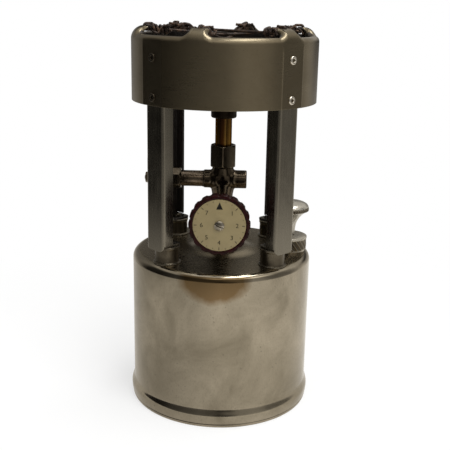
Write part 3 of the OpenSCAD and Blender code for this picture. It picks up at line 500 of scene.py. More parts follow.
def heat_tinted_tube():
    """Brass tube with streaks of heat colours along its length, darker towards the burner."""
    s = Shader("tube_brass")
    streaks = s.noise(1.0, detail=3, rough=0.6, warp=0.2, vector=s.stretch(520, 520, 12))
    dark, brown = (0.03, 0.011, 0.005), (0.08, 0.03, 0.008)
    amber, straw = (0.17, 0.085, 0.02), (0.30, 0.19, 0.05)
    colour = s.ramp(streaks, [(0.30, dark), (0.45, brown), (0.57, amber), (0.72, straw)])
    upper = s.range(s.node("SeparateXYZ", _0=s.place).outputs[2], 0.150, 0.166)
    colour = s.mix(s.math("MULTIPLY", upper, 0.45), colour, (0.06, 0.03, 0.018))
    s.set(
        Base_Color=colour,
        Metallic=1.0,
        Roughness=s.range(streaks, 0.3, 0.7, 0.38, 0.24),
        Specular_Tint=(0.6, 0.42, 0.2),
        Normal=s.bump(s.noise(900), 0.15, 0.05),
    )
    return s.material


def burnt_wire():
    """Scaled iron wire: black oxide with brown rust and grey rubbed spots."""
    s = Shader("burnt_wire")
    scale = s.noise(420, detail=6, rough=0.7)
    black, brown = (0.008, 0.005, 0.004), (0.028, 0.016, 0.01)
    rust, grey = (0.1, 0.058, 0.034), (0.26, 0.2, 0.145)
    s.set(
        Base_Color=s.ramp(scale, [(0.36, black), (0.51, brown), (0.63, rust), (0.78, grey)]),
        Metallic=s.range(scale, 0.45, 0.8, 0.25, 0.75),
        Roughness=s.range(scale, 0.35, 0.8, 0.72, 0.4),
        Normal=s.bump(scale, 0.6, 0.15),
    )
    return s.material


def bakelite():
    """Dark maroon moulded plastic with a faint swirl, and edges lighter from rubbing and a painted highlight.
    """
    s = Shader("wheel_bakelite")
    swirl = s.noise(140, detail=4, warp=2.5)
    colour = s.mix(s.range(swirl, 0.35, 0.7), (0.008, 0.0014, 0.0012), (0.018, 0.003, 0.003))
    # Outer edges lighter: rubbed wear, and a painted edge highlight.
    colour = s.mix(s.math("MULTIPLY", s.edges(0.52, 0.6), 0.4), colour, (0.035, 0.012, 0.012))
    s.set(
        Base_Color=colour,
        Roughness=s.range(s.noise(300), 0.3, 0.7, 0.2, 0.36),
        Specular_IOR_Level=0.12,
        Normal=s.bump(s.noise(700, detail=3), 0.08, 0.1),
    )
    return s.material


def dial_enamel():
    """Khaki-cream painted plate, yellowed in patches, with fine specks."""
    s = Shader("dial_enamel")
    aged = s.noise(150, detail=5, rough=0.6)
    colour = s.mix(s.range(aged, 0.35, 0.7), (0.205, 0.161, 0.074), (0.176, 0.136, 0.06))
    colour = s.mix(s.range(s.noise(1500, detail=2), 0.7, 0.78, 0, 0.6), colour, (0.11, 0.08, 0.04))
    rough = s.range(aged, 0.3, 0.7, 0.32, 0.5)
    s.set(Base_Color=colour, Roughness=rough, Normal=s.bump(s.noise(900), 0.05, 0.05))
    return s.material


def plain_soft(name, dark, light, rough, gloss=0.5):
    """Ink, rubber or leather: a fine two-tone mottle with a matt, pitted surface."""
    s = Shader(name)
    mottle = s.noise(900, detail=5)
    s.set(
        Base_Color=s.mix(s.range(mottle, 0.35, 0.7), dark, light),
        Roughness=s.range(mottle, 0.3, 0.7, rough - 0.1, rough + 0.08),
        Specular_IOR_Level=gloss,
        Normal=s.bump(mottle, 0.2, 0.1),
    )
    return s.material


# Colour for the sides towards the axis: soot, and painted shade inside the stove.
SOOT_AND_SHADE = (0.018, 0.013, 0.009)
# Light colour of plated edges: rubbed wear, and a painted edge highlight.
PLATE_EDGE = (0.55, 0.51, 0.43)

# Tint, stain, lowest and highest roughness, and fineness of the clouds of each plain metal
METALS = {
    "post_nickel": ((0.13, 0.112, 0.083), (0.082, 0.068, 0.049), (0.24, 0.38), 120),
    "leg_steel": ((0.13, 0.116, 0.094), (0.092, 0.08, 0.062), (0.2, 0.3), 70),
    "rivet_nickel": ((0.5, 0.46, 0.39), (0.34, 0.305, 0.24), (0.14, 0.26), 300),
    # Darker copy of the rivet metal: painted shade on the left front leg's rivets; the leg screws use it too.
    "rivet_dark": ((0.07, 0.058, 0.042), (0.04, 0.033, 0.024), (0.3, 0.42), 300),
    "burner_iron": ((0.022, 0.016, 0.011), (0.012, 0.009, 0.006), (0.34, 0.5), 130),
    "valve_bronze": ((0.135, 0.108, 0.075), (0.075, 0.057, 0.038), (0.15, 0.28), 150),
    "nut_bronze": ((0.15, 0.122, 0.085), (0.095, 0.074, 0.05), (0.14, 0.26), 170),
    "inner_brass": ((0.55, 0.40, 0.17), (0.40, 0.28, 0.11), (0.25, 0.4), 160),
    "small_steel": ((0.34, 0.31, 0.26), (0.22, 0.195, 0.15), (0.18, 0.32), 260),
    "pump_nickel": ((0.4, 0.365, 0.3), (0.28, 0.25, 0.195), (0.12, 0.24), 110),
    "cap_nickel": ((0.38, 0.35, 0.29), (0.27, 0.245, 0.195), (0.18, 0.3), 110),
    "knob_nickel": ((0.5, 0.475, 0.42), (0.38, 0.355, 0.3), (0.16, 0.28), 110),
    "tube_plate": ((0.25, 0.198, 0.145), (0.16, 0.12, 0.083), (0.18, 0.3), 150),
}
# bright is the edge colour: rubbed wear, and a painted edge highlight.
EXTRAS = {
    "post_nickel": {"bright": (0.3, 0.27, 0.21)},
    # The legs' sides towards the axis take the soot colour as painted shade.
    "leg_steel": {"grain": (1500, 1500, 40), "bright": (0.24, 0.22, 0.18), "inner": SOOT_AND_SHADE, "relief": 0.05},
    "rivet_nickel": {"bright": (0.65, 0.61, 0.54)},
    "burner_iron": {"soot": (0.006, 0.005, 0.004)},
    "valve_bronze": {"soot": (0.035, 0.025, 0.017)},
    "small_steel": {"bright": (0.5, 0.46, 0.39)},
    "pump_nickel": {"bright": PLATE_EDGE},
    "cap_nickel": {"bright": PLATE_EDGE, "metal": 0.6},
    "knob_nickel": {"bright": (0.62, 0.59, 0.52), "metal": 0.78},
}
materials = {name: worn_metal(name, *look, **EXTRAS.get(name, {})).material for name, look in METALS.items()}
materials |= {
    "tank_nickel": tank_nickel(),
    "drum_steel": drum_steel(),
    "tube_brass": heat_tinted_tube(),
    "burnt_wire": burnt_wire(),
    "wheel_bakelite": bakelite(),
    "dial_enamel": dial_enamel(),
    "seal_rubber": plain_soft("seal_rubber", (0.02, 0.019, 0.018), (0.045, 0.042, 0.04), 0.6),
    "dial_ink": plain_soft("dial_ink", (0.006, 0.005, 0.004), (0.014, 0.012, 0.009), 0.5, 0.1),
    "cup_leather": plain_soft("cup_leather", (0.12, 0.06, 0.03), (0.22, 0.12, 0.06), 0.65),
}

# Every CAD node starts with the material of its slot; replaced ones are hidden later
slot_of = {part["node"]: part["material_slot"] for part in frame["record"]["subparts"]}
for name, obj in frame["nodes"].items():
    obj.data.materials.clear()
    obj.data.materials.append(materials[slot_of[name]])


# Tank, posts and legs


def tank():
    """Drawn shell with a rolled foot, a soft flare, a round shoulder and a raised middle."""
    bead_h, flare_h, edge, shoulder = 5.9, 11.3, 0.8, 4.0
    hem_z, hem_depth, hem_w = 1.8, 0.28, 0.28
    slope_r, crown_r, crown_bend = 20.0, 14.0, 3.5
    rim_z, rim_edge = 0.15, 0.12

    def foot(depth):
        line = []
        for t in np.linspace(0, 1, 34):
            hem = hem_depth * math.exp(-(((bead_h * t - hem_z) / hem_w) ** 2)) if depth == 0 else 0.0
            line.append((FOOT_R - edge * (1 - t) ** 2 - hem - depth, bead_h * t))
        for t in np.linspace(0, 1, 14)[1:]:
            line.append((TANK_R + (FOOT_R - TANK_R) * (1 - ease(t)) - depth, bead_h + (flare_h - bead_h) * t))
        return line

    def roof(depth):
        r = shoulder - depth
        rim = [
            (TANK_R - shoulder + r * math.cos(a), TANK_TOP - shoulder + r * math.sin(a))
            for a in np.linspace(0, PI / 2, 16)
        ]
        top, crown = TANK_TOP - depth, CROWN_TOP - depth
        return rim + rounded([rim[-1], (slope_r, top), (crown_r, crown), (0.0, crown)], crown_bend, 8)[1:]

    side = [(TANK_R, z) for z in np.linspace(flare_h, TANK_TOP - shoulder, 20)[1:-1]]
    outer = foot(0) + side + roof(0)
    inner = [(max(r, 0), z) for r, z in foot(SHEET) + roof(SHEET)]
    lip = [(FOOT_R - edge - rim_edge, 0.0), (FOOT_R - edge - SHEET + rim_edge, 0.0)]
    outer[0] = (outer[0][0], rim_z)
    inner[0] = (inner[0][0], rim_z)
    piece("tank_body", [lathe(outer[::-1] + lip + inner, 240)], "tank_nickel", ["tank_shell"], crease=50)


def posts():
    """Turned posts: a spread foot, a plain neck and a rolled lip round the cup that takes the leg's foot."""
    cup_r, cup_low, lip_low, lip_slope = 5.5, POST_TOP - 4.0, POST_TOP - 1.5, 0.4
    neck_r, foot_r, foot_h, foot_side = POST_R - 0.35, POST_R + 0.6, 1.0, 0.7
    cup = [(0, cup_low), (cup_r, cup_low), (cup_r, POST_TOP), (POST_R, POST_TOP), (POST_R, lip_low)]
    neck = [(neck_r, lip_low - lip_slope), (neck_r, TANK_TOP + foot_h)]
    foot = [(foot_r, TANK_TOP + foot_h * foot_side), (foot_r, TANK_TOP), (0, TANK_TOP)]
    line = rounded(cup + neck + foot, [0.6, 0.5, 0.6, 0.5, 0.4, 0.9, 0.3, 0.1])
    for name, angle in LEG_ANGLES.items():
        body = spun(line, 72, turn(angle), move(POST_PITCH, 0, 0))
        piece(f"post_{name}", body, "post_nickel", [f"leg_post_{name}"])


def legs():
    """Bent channel: rounded bends, broken edges, a web that reaches past the post's lip, and a foot tab."""
    half, bend_in, tip, tip_edge = LEG_W / 2, 0.8, LEG_A - LEG_FLANGE, 0.2
    flange_low, web_depth, corner_r = POST_TOP + LEG_T, 0.9, 3.0
    tab_tip, tab_root, tab_corner = POST_PITCH - 5.5, LEG_A - 1, 2.5

    def face(radius, side):
        """One face of the sheet, from tip to tip."""
        centre = np.array((LEG_A - LEG_T - bend_in, half - LEG_T - bend_in))
        angles = np.linspace(0, PI / 2, 9)
        bend = [tuple(centre + radius * np.array((math.cos(a), math.sin(a)))) for a in angles]
        run = bend + [(tip + tip_edge, side), (tip, side)]
        across = [(run[0][0], y) for y in np.linspace(-run[0][1], run[0][1], 12)[1:-1]]
        return [(x, -y) for x, y in run[::-1]] + across + run

    outer, inner = face(LEG_T + bend_in, half), face(bend_in, half - LEG_T)
    low = []
    for x, y in outer:
        corner = max(0.0, abs(y) - (half - corner_r)) / corner_r
        rise = 1 - math.sqrt(max(0.0, 1 - corner**2)) if x > LEG_A - web_depth else 1.0
        low.append(LEG_LOW + (flange_low - LEG_LOW) * rise)
    side = half - LEG_T
    tab = rounded([(tab_root, side), (tab_tip, side), (tab_tip, -side), (tab_root, -side)], tab_corner, 6)
    parts = [bent_sheet(outer, inner, low, LEG_TOP), prism(tab, POST_TOP, POST_TOP + LEG_T)]
    for name, angle in LEG_ANGLES.items():
        turned = [placed(p, turn(angle)) for p in parts]
        piece(f"leg_{name}_channel", turned, "leg_steel", [f"leg_{name}"], crease=30)


def leg_screws():
    head_d, head_h, first_turn, more_turn = 5.6, 1.8, 30, 50
    head = screw_head(head_d, POST_TOP + LEG_T, POST_TOP + LEG_T + head_h)
    parts = []
    for i, angle in enumerate(LEG_ANGLES.values()):
        parts.append(placed(head, turn(angle), move(POST_PITCH, 0, 0), turn(first_turn + more_turn * i)))
    piece("leg_screw_heads", parts, "rivet_dark", ["leg_screws"])


# Drum, rivets and grate


def drum():
    """Rolled sheet with six lobes bent inwards, rolled edges round them and a flat at each leg."""
    gauge, foot_drop = 0.85, 8.0
    half, root, corner, tip_half = 5.0, 3.0, 1.8, 3.2
    lip_roll, flank_roll, shoulder_roll, tip_roll = 6.0, 2.6, 1.4, 1.0
    ridge, ridge_w, near_leg = 0.1, 0.004, 0.5
    fade_from, fade_len = 3, 8
    wall_h = DRUM_TOP - LOBE_ROLL - DRUM_LOW
    roll_len = LOBE_ROLL * PI / 2
    tip_s = wall_h + roll_len + LOBE_TIP
    flat_half = math.asin(math.sqrt(1 - (FLAT_A / DRUM_R) ** 2))

    def meridian(s):
        """Radius, height and outward direction at a distance s up the sheet."""
        a = np.clip((s - wall_h) / LOBE_ROLL, 0, PI / 2)
        past = np.maximum(s - wall_h - roll_len, 0)
        r = DRUM_R - LOBE_ROLL + LOBE_ROLL * np.cos(a) - past
        z = np.minimum(s, wall_h) + DRUM_LOW + LOBE_ROLL * np.sin(a)
        return r, z, np.cos(a), np.sin(a)

    def place(theta, s, depth):
        """Ring of points: angles from each lobe's middle, ways up the sheet and depths below its face."""
        r0, z, out_r, out_z = meridian(s)
        fade = 1 - np.clip((s - wall_h + fade_from) / fade_len, 0, 1)
        rows = []
        for lobe_angle in LOBE_ANGLES:
            world, r = theta + math.radians(lobe_angle), r0
            for leg in LEG_ANGLES.values():
                off = (world - math.radians(leg) + PI) % (2 * PI) - PI
                chord = FLAT_A / np.cos(np.clip(off, -near_leg, near_leg))
                r = np.where(np.abs(off) < near_leg, r - np.maximum(DRUM_R - chord, 0) * fade, r)
                r = r + ridge * fade * np.exp(-(((np.abs(off) - flat_half) / ridge_w) ** 2))
            r = r - depth * out_r
            rows.append(np.stack([r * np.cos(world), r * np.sin(world), z - depth * out_z], -1))
        return np.concatenate(rows)

    # Edge of half a lobe from the middle of a cut-out to the tip, as rows of
    # way sideways, way up the sheet, direction into the sheet (two numbers) and radius of the roll
    lip_s = wall_h + LOBE_ROLL * math.asin((LIP_Z - (DRUM_TOP - LOBE_ROLL)) / LOBE_ROLL)
    lip_r = meridian(lip_s)[0]
    flat_x = lip_r * (PI / 6 - flat_half)
    cut = np.concatenate([np.linspace(lip_r * PI / 6, flat_x, 12), np.linspace(flat_x, half + root, 14)[1:]])
    edge = [(x, lip_s, 0.0, -1.0, lip_roll) for x in cut]
    for a in np.linspace(0, PI / 2, 12)[1:]:
        c, s = math.cos(a), math.sin(a)
        roll = lip_roll + (flank_roll - lip_roll) * s
        edge.append((half + root * (1 - s), lip_s + root * (1 - c), -s, -c, roll))
    flank_s, shoulder_s = lip_s + root, tip_s - corner
    for t in np.linspace(0, 1, 12)[1:]:
        x = half + (tip_half + corner - half) * ease(t)
        roll = flank_roll + (shoulder_roll - flank_roll) * t
        edge.append((x, flank_s + (shoulder_s - flank_s) * t, -1.0, 0.0, roll))
    for a in np.linspace(0, PI / 2, 8)[1:]:
        c, s = math.cos(a), math.sin(a)
        roll = shoulder_roll + (tip_roll - shoulder_roll) * s
        edge.append((tip_half + corner * c, shoulder_s + corner * s, -c, -s, roll))
    edge += [(x, tip_s, 0.0, -1.0, tip_roll) for x in np.linspace(tip_half, 0, 6)[1:]]
    edge = np.array(edge)
    x0, s0, nx, ns, roll = np.concatenate([edge * (-1, 1, -1, 1, 1), edge[-2:0:-1]]).T

    r0 = meridian(s0)[0]
    theta0 = x0 / r0
    on_lobe = np.abs(x0) < half + root - 1e-6
    theta_foot = theta0.copy()
    root_theta = (half + root) / lip_r
    theta_foot[on_lobe] = np.linspace(-root_theta, root_theta, on_lobe.sum() + 2)[1:-1]
    curl = np.radians(np.interp(roll, (tip_roll, shoulder_roll, flank_roll, lip_roll), (70, 85, 100, 66)))

    def rolled(phi, radius):
        """Ring on the rolled edge at an angle phi round the roll, at a radius from the roll's own centre."""
        d, depth = roll - radius * np.sin(phi), roll - radius * np.cos(phi)
        return place(theta0 + nx * d / r0, s0 + ns * d, depth)

    def sheet(f, depth, drop=0.0):
        """Ring on the sheet: f is 0 at the rolled edge and 1 below the lobes, drop is 1 at the foot."""
        s_in, theta_in = s0 + ns * roll, theta0 + nx * roll / r0
        s = (s_in + (lip_s - foot_drop - s_in) * f) * (1 - drop)
        return place(theta_in + (theta_foot - theta_in) * f, s, depth)

    turns, fall = np.linspace(1, 0, 12)[:-1], np.linspace(0, 1, 16)
    down = np.linspace(0, 0.94, 14)[1:-1]
    bend = [(1 - 0.008 * (1 - u), 0.2 * (1 - math.sqrt(1 - u**4))) for u in np.linspace(0, 0.97, 8)]
    rows = [rolled(curl * u, roll) for u in turns]
    rows += [sheet(f, 0.0) for f in fall] + [sheet(1, 0.0, d) for d in down]
    rows += [sheet(1, depth, drop) for drop, depth in bend]
    rows += [sheet(1, depth + gauge, drop) for drop, depth in bend[::-1]]
    rows += [sheet(1, gauge, d) for d in down[::-1]] + [sheet(f, gauge) for f in fall[::-1]]
    rows += [rolled(curl * u, roll - gauge) for u in turns[::-1]]
    piece("drum_sheet", [skin(rows, loop=True)], "drum_steel", ["burner_drum"], crease=36)


def rivets():
    """Tubular rivets with rolled heads outside and clenched rings inside."""
    low_z, high_z = DRUM_LOW + 4.3, DRUM_LOW + 24.3
    bore = [(0, -1.6), (0.8, -1.6), (0.85, 0.25), (1.0, 0.62)]
    crest = [(1.45, 0.8), (1.95, 0.62), (2.3, 0.2), (2.25, 0.0), (1.5, 0.0), (1.5, -3.3)]
    tail = [(1.5, -2.2), (2.25, -2.2), (2.3, -2.5), (1.9, -2.95)]
    tail += [(1.3, -3.0), (0.9, -2.7), (0.85, -1.7), (0, -1.7)]
    bright, shaded_rivets = [], []
    for leg, angle in LEG_ANGLES.items():
        for z in (low_z, high_z):
            for line in (bore + crest, tail):
                rivet = placed(lathe(line, 32), turn(angle), move(FLAT_A, 0, z), RIGHT)
                # The left front leg's rivets go in the darker set: painted shade on the side away from the
                # lamps.
                (shaded_rivets if leg == "fl" else bright).append(rivet)
    piece("rivet_heads", bright, "rivet_nickel", ["drum_rivets"], crease=60)
    piece("rivet_heads_shaded", shaded_rivets, "rivet_dark", crease=60)


def wires():
    """Grate wires: each runs under two lobes, hooks up through their tips and winds back round itself."""
    r, wire_z, hook_z, hook_r, hook_at = 0.75, DRUM_TOP - 2.2, DRUM_TOP + 1.0, 1.6, 44.2
    wind_r, wind_start, pitch, turns, turn_points, tail_len = 2.05, 39.85, 2.2, 4, 8, 3.0
    layer, strands, strand_from, strand_len, strand_top = 2.05, 4, 43.0, 12.5, DRUM_TOP + 0.4
    rng = random.Random(7)

    def end(sign):
        """Hook, winding and short tail at one end of a wire."""
        hook = [(a, wire_z + hook_r) for a in (-90, -45, 0)] + [(a, hook_z - hook_r) for a in (45, 90)]
        pts = []
        for degrees, z in hook:
            a = math.radians(degrees)
            pts.append((hook_at - hook_r + hook_r * math.cos(a), 0, z + hook_r * math.sin(a)))
        for i in range(turns * turn_points + 1):
            a = PI / 2 - 2 * PI * i / turn_points
            wide = wind_r + rng.uniform(-0.12, 0.22) + (hook_z - wire_z - wind_r) * max(0.0, 1 - i / 4)
            out = wind_start - pitch * i / turn_points + rng.uniform(-0.18, 0.18)
            pts.append((out, wide * math.cos(a), wire_z + min(wide * math.sin(a), hook_z - wire_z)))
        for step in (0.5, 1.0):
            out, z = wind_start - pitch * turns - 0.7 * step, wire_z + wind_r + 0.4 * step
            pts.append((out, tail_len * step, z))
        return [(sign * x, sign * y, z) for x, y, z in pts]

    def loose_strand(sign):
        """Short cut strand that wanders over a winding, with its ends sticking out."""
        waves, lift = rng.uniform(0.5, 1.2), rng.uniform(0.7, 1.5)
        phase, rise = rng.uniform(0, 6), rng.uniform(0, 6)
        pts = []
        for t in np.linspace(0, 1, 12):
            reach = 3.0 + 1.6 * abs(2 * t - 1)
            side = reach * math.sin(2 * PI * waves * t + phase) + rng.uniform(-0.4, 0.4)
            z = wire_z + 0.5 + 1.9 * math.sin(2 * PI * lift * t + rise) + rng.uniform(-0.3, 0.3)
            out = strand_from - strand_len * t + rng.uniform(-0.7, 0.7)
            pts.append((sign * out, sign * side, min(z, strand_top)))
        return pts

    for index, letter in enumerate("abc"):
        middle = wire_z - layer * index
        near, far = end(-1), end(1)
        run = [(6.0, 0.0, middle), (18.0, -0.5, (wire_z + middle) / 2), (31.0, 0.0, wire_z)]
        run = [(-x, -y, z) for x, y, z in run[::-1]] + run
        path = smooth_path(near[::-1] + run + far, 4)
        path[:, 2] = np.minimum(path[:, 2], hook_z - 0.02)
        parts = [tube(path, r, 10)]
        for sign in (-1, 1):
            for _ in range(strands):
                parts.append(tube(smooth_path(loose_strand(sign), 4), r * rng.uniform(0.7, 0.95), 8))
        parts = [placed(p, turn(LOBE_ANGLES[index])) for p in parts]
        piece(f"wire_{letter}", parts, "burnt_wire", [f"grate_wire_{letter}"], crease=70)


# Burner and valve


def burner():
    """Bowl with its bridge, cap and screw, the mixing tube under it and the generator nut."""
    bowl_r, bowl_in, neck_r, neck_in, tube_r, tube_in, nut_bore = 23.0, 21.5, 7.15, 6.4, 4.65, 3.75, 4.7
    neck_z, rim_z = heights("burner_bowl")
    bridge_z, bridge_l, bridge_w, screw_r = neck_z + 17, 17, 2.5, 2
    outer = [(nut_bore, neck_z), (neck_r, neck_z), (neck_r, neck_z + 9), (bowl_in, rim_z - 5.5)]
    outer += [(bowl_r, rim_z - 4), (bowl_r, rim_z)]
    inner = [(bowl_in, rim_z), (bowl_in, rim_z - 4), (neck_in, neck_z + 12.5), (nut_bore, neck_z + 11)]
    inner += [(nut_bore, neck_z)]
    line = rounded(outer + inner, [2.4, 1.5, 1.5, 1.2, 0.5, 0.5, 1.0, 1.5, 0.5, 0.3], 6)
    bar = [(-bridge_l, -bridge_w), (bridge_l, -bridge_w), (bridge_l, bridge_w), (-bridge_l, bridge_w)]
    bridge = prism(bar, bridge_z, neck_z + 20)
    piece("burner_bowl_cast", [lathe(line, 120), bridge], "burner_iron", ["burner_bowl"])
    low, top = heights("burner_cap")
    dish = top - 0.5
    cap = [(0, low), (bowl_r, low), (bowl_r, top - 1.2), (bowl_r - 2.4, top), (9, top), (8, dish), (0, dish)]
    cap = rounded(cap, [0.3, 0.8, 1.0, 0.6, 0.6])
    piece("burner_cap_turned", spun(cap, 120), "burner_iron", ["burner_cap"])
    head = screw_head(8.0, dish, heights("burner_screw")[1])
    shank = lathe([(0, bridge_z), (screw_r, bridge_z), (screw_r, dish), (0, dish)], 24)
    piece("burner_screw_head", [head, shank], "small_steel", ["burner_screw"])
    low, top = heights("mixing_tube")
    line = rounded([(tube_in, top), (tube_r, top), (tube_r, low), (tube_in, low)], 0.3)
    piece("mixing_tube_drawn", spun(line, 64, loop=True), "tube_brass", ["mixing_tube"])
    nut_piece("generator_nut_hex", nut(13.8, *heights("generator_nut"), nut_bore, 1.3), "generator_nut")


def remeshed(parts, voxel_mm, rounds):
    """Closed parts melted into one casting with soft inner corners."""
    verts, faces = joined(parts)
    mesh = bpy.data.meshes.new("casting")
    mesh.from_pydata(verts.tolist(), [], faces)
    obj = bpy.data.objects.new("casting", mesh)
    bpy.context.collection.objects.link(obj)
    melt = obj.modifiers.new("melt", "REMESH")
    melt.mode, melt.voxel_size = "VOXEL", voxel_mm
    soften = obj.modifiers.new("soften", "SMOOTH")
    soften.factor, soften.iterations = 0.5, rounds
    done = obj.evaluated_get(bpy.context.evaluated_depsgraph_get()).to_mesh()
    part = np.array([v.co[:] for v in done.vertices]), [list(f.vertices) for f in done.polygons]
    bpy.data.objects.remove(obj)
    return part


def rod(radius, low, high, edge=0.5, sides=64):
    return lathe(rounded([(0, low), (radius, low), (radius, high), (0, high)], edge), sides)


def valve():
    """Cross-shaped casting with its lock nut, end plug and packing nut."""
    arm_r, arm_right, arm_left, hub_r, column_r, boss_r, boss_end = 5.15, 13.6, 10.9, 6.7, 5.8, 5.0, 16
    low, high = CROWN_TOP + 5.5, VALVE_Z + 7.2
    at, wheel_at = move(0, 0, VALVE_Z), move(0, 0, WHEEL_Z)

    def arm(length):
        """Round arm that widens into the hub."""
        line = [(0, 0), (hub_r, 0), (hub_r, 3.6), (arm_r, 6.4), (arm_r, length), (0, length)]
        return lathe(rounded(line, [0.1, 2.0, 2.6, 0.5]), 64)

    column = [(0, low), (column_r, low), (column_r, VALVE_Z - 9), (hub_r, VALVE_Z - 5), (hub_r, VALVE_Z + 4)]
    column += [(column_r, high), (0, high)]
    body = [
        lathe(rounded(column, [0.5, 2.6, 2.6, 2.0, 0.3]), 64),
        placed(arm(arm_right), at, RIGHT),
        placed(arm(arm_left), at, LEFT),
        placed(rod(boss_r, 0, boss_end), wheel_at, FRONT),
    ]
    piece("valve_casting", [remeshed(body, 0.3, 14)], "valve_bronze", ["valve_body"], crease=70)
    nut_piece("lock_nut_hex", nut(16.0, *heights("valve_lock_nut"), 4.6, 1.2), "valve_lock_nut")
    plug = placed(screw_head(5.0, arm_right - 0.7, arm_right, depth=0.6), at, RIGHT, turn(20))
    piece("end_plug_slotted", [plug], "small_steel", ["end_plug"])
    nut_piece("packing_nut_hex", placed(nut(12.0, boss_end, 24, 2.5, 1.0), wheel_at, FRONT), "packing_nut")


def hand_wheel():
    """Fluted moulded wheel, its printed dial and the slotted screw that holds them."""
    rim_r, hub_r, bore_r, back, front, hub = 16.4, 6, 2.5, WHEEL_FACE - 7, WHEEL_FACE, WHEEL_FACE - 12
    flutes, flute_r, flute_depth, flute_from, flute_fade = 18, 2.4, 0.6, 14.6, 1.2
    dial_r, recess, dial_t, ink = 14.05, 0.9, 0.6, 0.03
    marks, ticks_end, number_r, number_size = 24, 13.4, 9.4, 3.4
    spot, floor_z = move(0, 0, WHEEL_Z), front - recess
    face = floor_z + dial_t

    def fluted(angles, r, z):
        off = (angles * flutes / (2 * PI)) % 1 - 0.5
        off = np.abs(off) * 2 * PI / flutes
        centre = rim_r + flute_r - flute_depth
        inside = np.maximum(flute_r**2 - (centre * np.sin(off)) ** 2, 0)
        side = np.where(centre * np.sin(off) < flute_r, centre * np.cos(off) - np.sqrt(inside), rim_r)
        cut = rim_r - np.minimum(rim_r, side)
        return r - cut * np.clip((r - flute_from) / flute_fade, 0, 1)

    line = [(bore_r, hub), (hub_r, hub), (hub_r, back), (14, back), (rim_r, back + 0.4), (rim_r, front - 0.2)]
    line += [(dial_r + 0.75, front), (dial_r + 0.2, front - 0.25), (dial_r + 0.1, floor_z)]
    line += [(bore_r, floor_z), (bore_r, hub)]
    line = rounded(line, [0.7, 1.2, 0.6, 1.7, 1.6, 0.5, 0.2, 0.2, 0.2], 7)
    moulding = spun(line, flutes * 16, spot, FRONT, shape=fluted)
    piece("wheel_moulding", moulding, "wheel_bakelite", ["hand_wheel"], "wheel", crease=50)
    plate = rounded([(0, face), (dial_r, face), (dial_r, floor_z), (0, floor_z)], [0.35, 0.1])
    piece("dial_disc", spun(plate, 128, spot, FRONT), "dial_enamel", ["dial_plate"], "wheel")
    head = placed(screw_head(5.2, face, face + 1.6, slot=0.95, depth=0.9), spot, FRONT, turn(-20))
    piece("wheel_screw_head", [head], "small_steel", ["wheel_screw"], "wheel")

    shapes = [[(-1.75, 8.7), (1.75, 8.7), (0, 12.6)]]
    for i in range(1, marks):
        a = math.radians(90 - 360 / marks * i)
        along, over = np.array((math.cos(a), math.sin(a))), np.array((-math.sin(a), math.cos(a)))
        w, start = (0.17, 11.9) if i % 3 == 0 else (0.1, 12.6)
        ends = [(start, -w), (ticks_end, -w), (ticks_end, w), (start, w)]
        shapes.append([tuple(along * r + over * side) for r, side in ends])
    parts = [prism(outline, face, face + ink, 0.005) for outline in shapes]
    for number in range(1, 8):
        a = math.radians(90 - 45 * number)
        text = bpy.data.curves.new(f"number_{number}", "FONT")
        text.body, text.size, text.align_x, text.align_y = str(number), number_size, "CENTER", "CENTER"
        holder = bpy.data.objects.new(text.name, text)
        shape = bpy.data.meshes.new_from_object(holder)
        verts = np.array([v.co[:] for v in shape.vertices])
        verts[:, 2] = face + ink
        verts[:, :2] += (number_r * math.cos(a), number_r * math.sin(a))
        parts.append((verts, [list(f.vertices) for f in shape.polygons]))
        bpy.data.objects.remove(holder)
    parts = [placed(p, spot, FRONT) for p in parts]
    piece("dial_print", parts, "dial_ink", body="wheel")


def cleaner():
    """Tip cleaner on the left arm: tube, gland nut, shaft collar, lever and its nut."""
    tube_in, tube_r, bead_r, shaft_r, collar_r, stud_r = 2.4, 4.5, 4.65, 1.6, 3.0, 1.1
    eye_r, tip_r, tip_at = 4.5, 3.5, 10.5
    spot = move(0, 0, VALVE_Z)

    def along(node):
        """Where a node starts and ends on the way out along the arm."""
        near, far = -span(node)[1][0], -span(node)[0][0]
        return near, far

    low, high = along("cleaner_tube")
    nut_end = along("cleaner_nut")[1]
    lever_low, lever_high = along("cleaner_lever")
    stud_end = along("cleaner_shaft")[1]
    line = [(tube_in, low), (bead_r, low), (bead_r, low + 0.5)]
    line += [(tube_r, low + 0.8), (tube_r, high), (tube_in, high)]
    drawn = spun(rounded(line, 0.2), 64, spot, LEFT, loop=True)
    piece("cleaner_tube_drawn", drawn, "tube_plate", ["cleaner_tube"])
    gland = placed(nut(10.6, high, nut_end, 1.7, 1.1), spot, LEFT, turn(30))
    nut_piece("cleaner_gland_hex", gland, "cleaner_nut")
    collar = nut_end + 0.3
    shaft = [(0, 2), (shaft_r, 2), (shaft_r, collar), (collar_r, collar), (collar_r, lever_low)]
    shaft += [(stud_r, lever_low), (stud_r, stud_end), (0, stud_end)]
    pin = placed(rod(0.7, 0, 4, 0.15, 24), move(-2, 1.2, VALVE_Z), RIGHT)
    spindle = spun(rounded(shaft, 0.3), 48, spot, LEFT)
    piece("cleaner_spindle", [*spindle, pin], "small_steel", ["cleaner_shaft"], "cleaner")
    tip = [(tip_at + tip_r * math.cos(a), tip_r * math.sin(a)) for a in np.linspace(-PI / 2, PI / 2, 16)]
    round_eye = np.linspace(math.radians(51), math.radians(309), 28)
    eye = [(eye_r * math.cos(a), eye_r * math.sin(a)) for a in round_eye]
    lever = placed(prism(tip + eye, lever_low, lever_high, 0.35), spot, LEFT)
    piece("lever_stamped", [lever], "nut_bronze", ["cleaner_lever"], "cleaner")
    small = placed(nut(5.5, lever_high, lever_high + 1.4, 1.15, 0.4), spot, LEFT, turn(30))
    nut_piece("lever_nut_hex", small, "lever_nut", "cleaner")


# Pump and filler


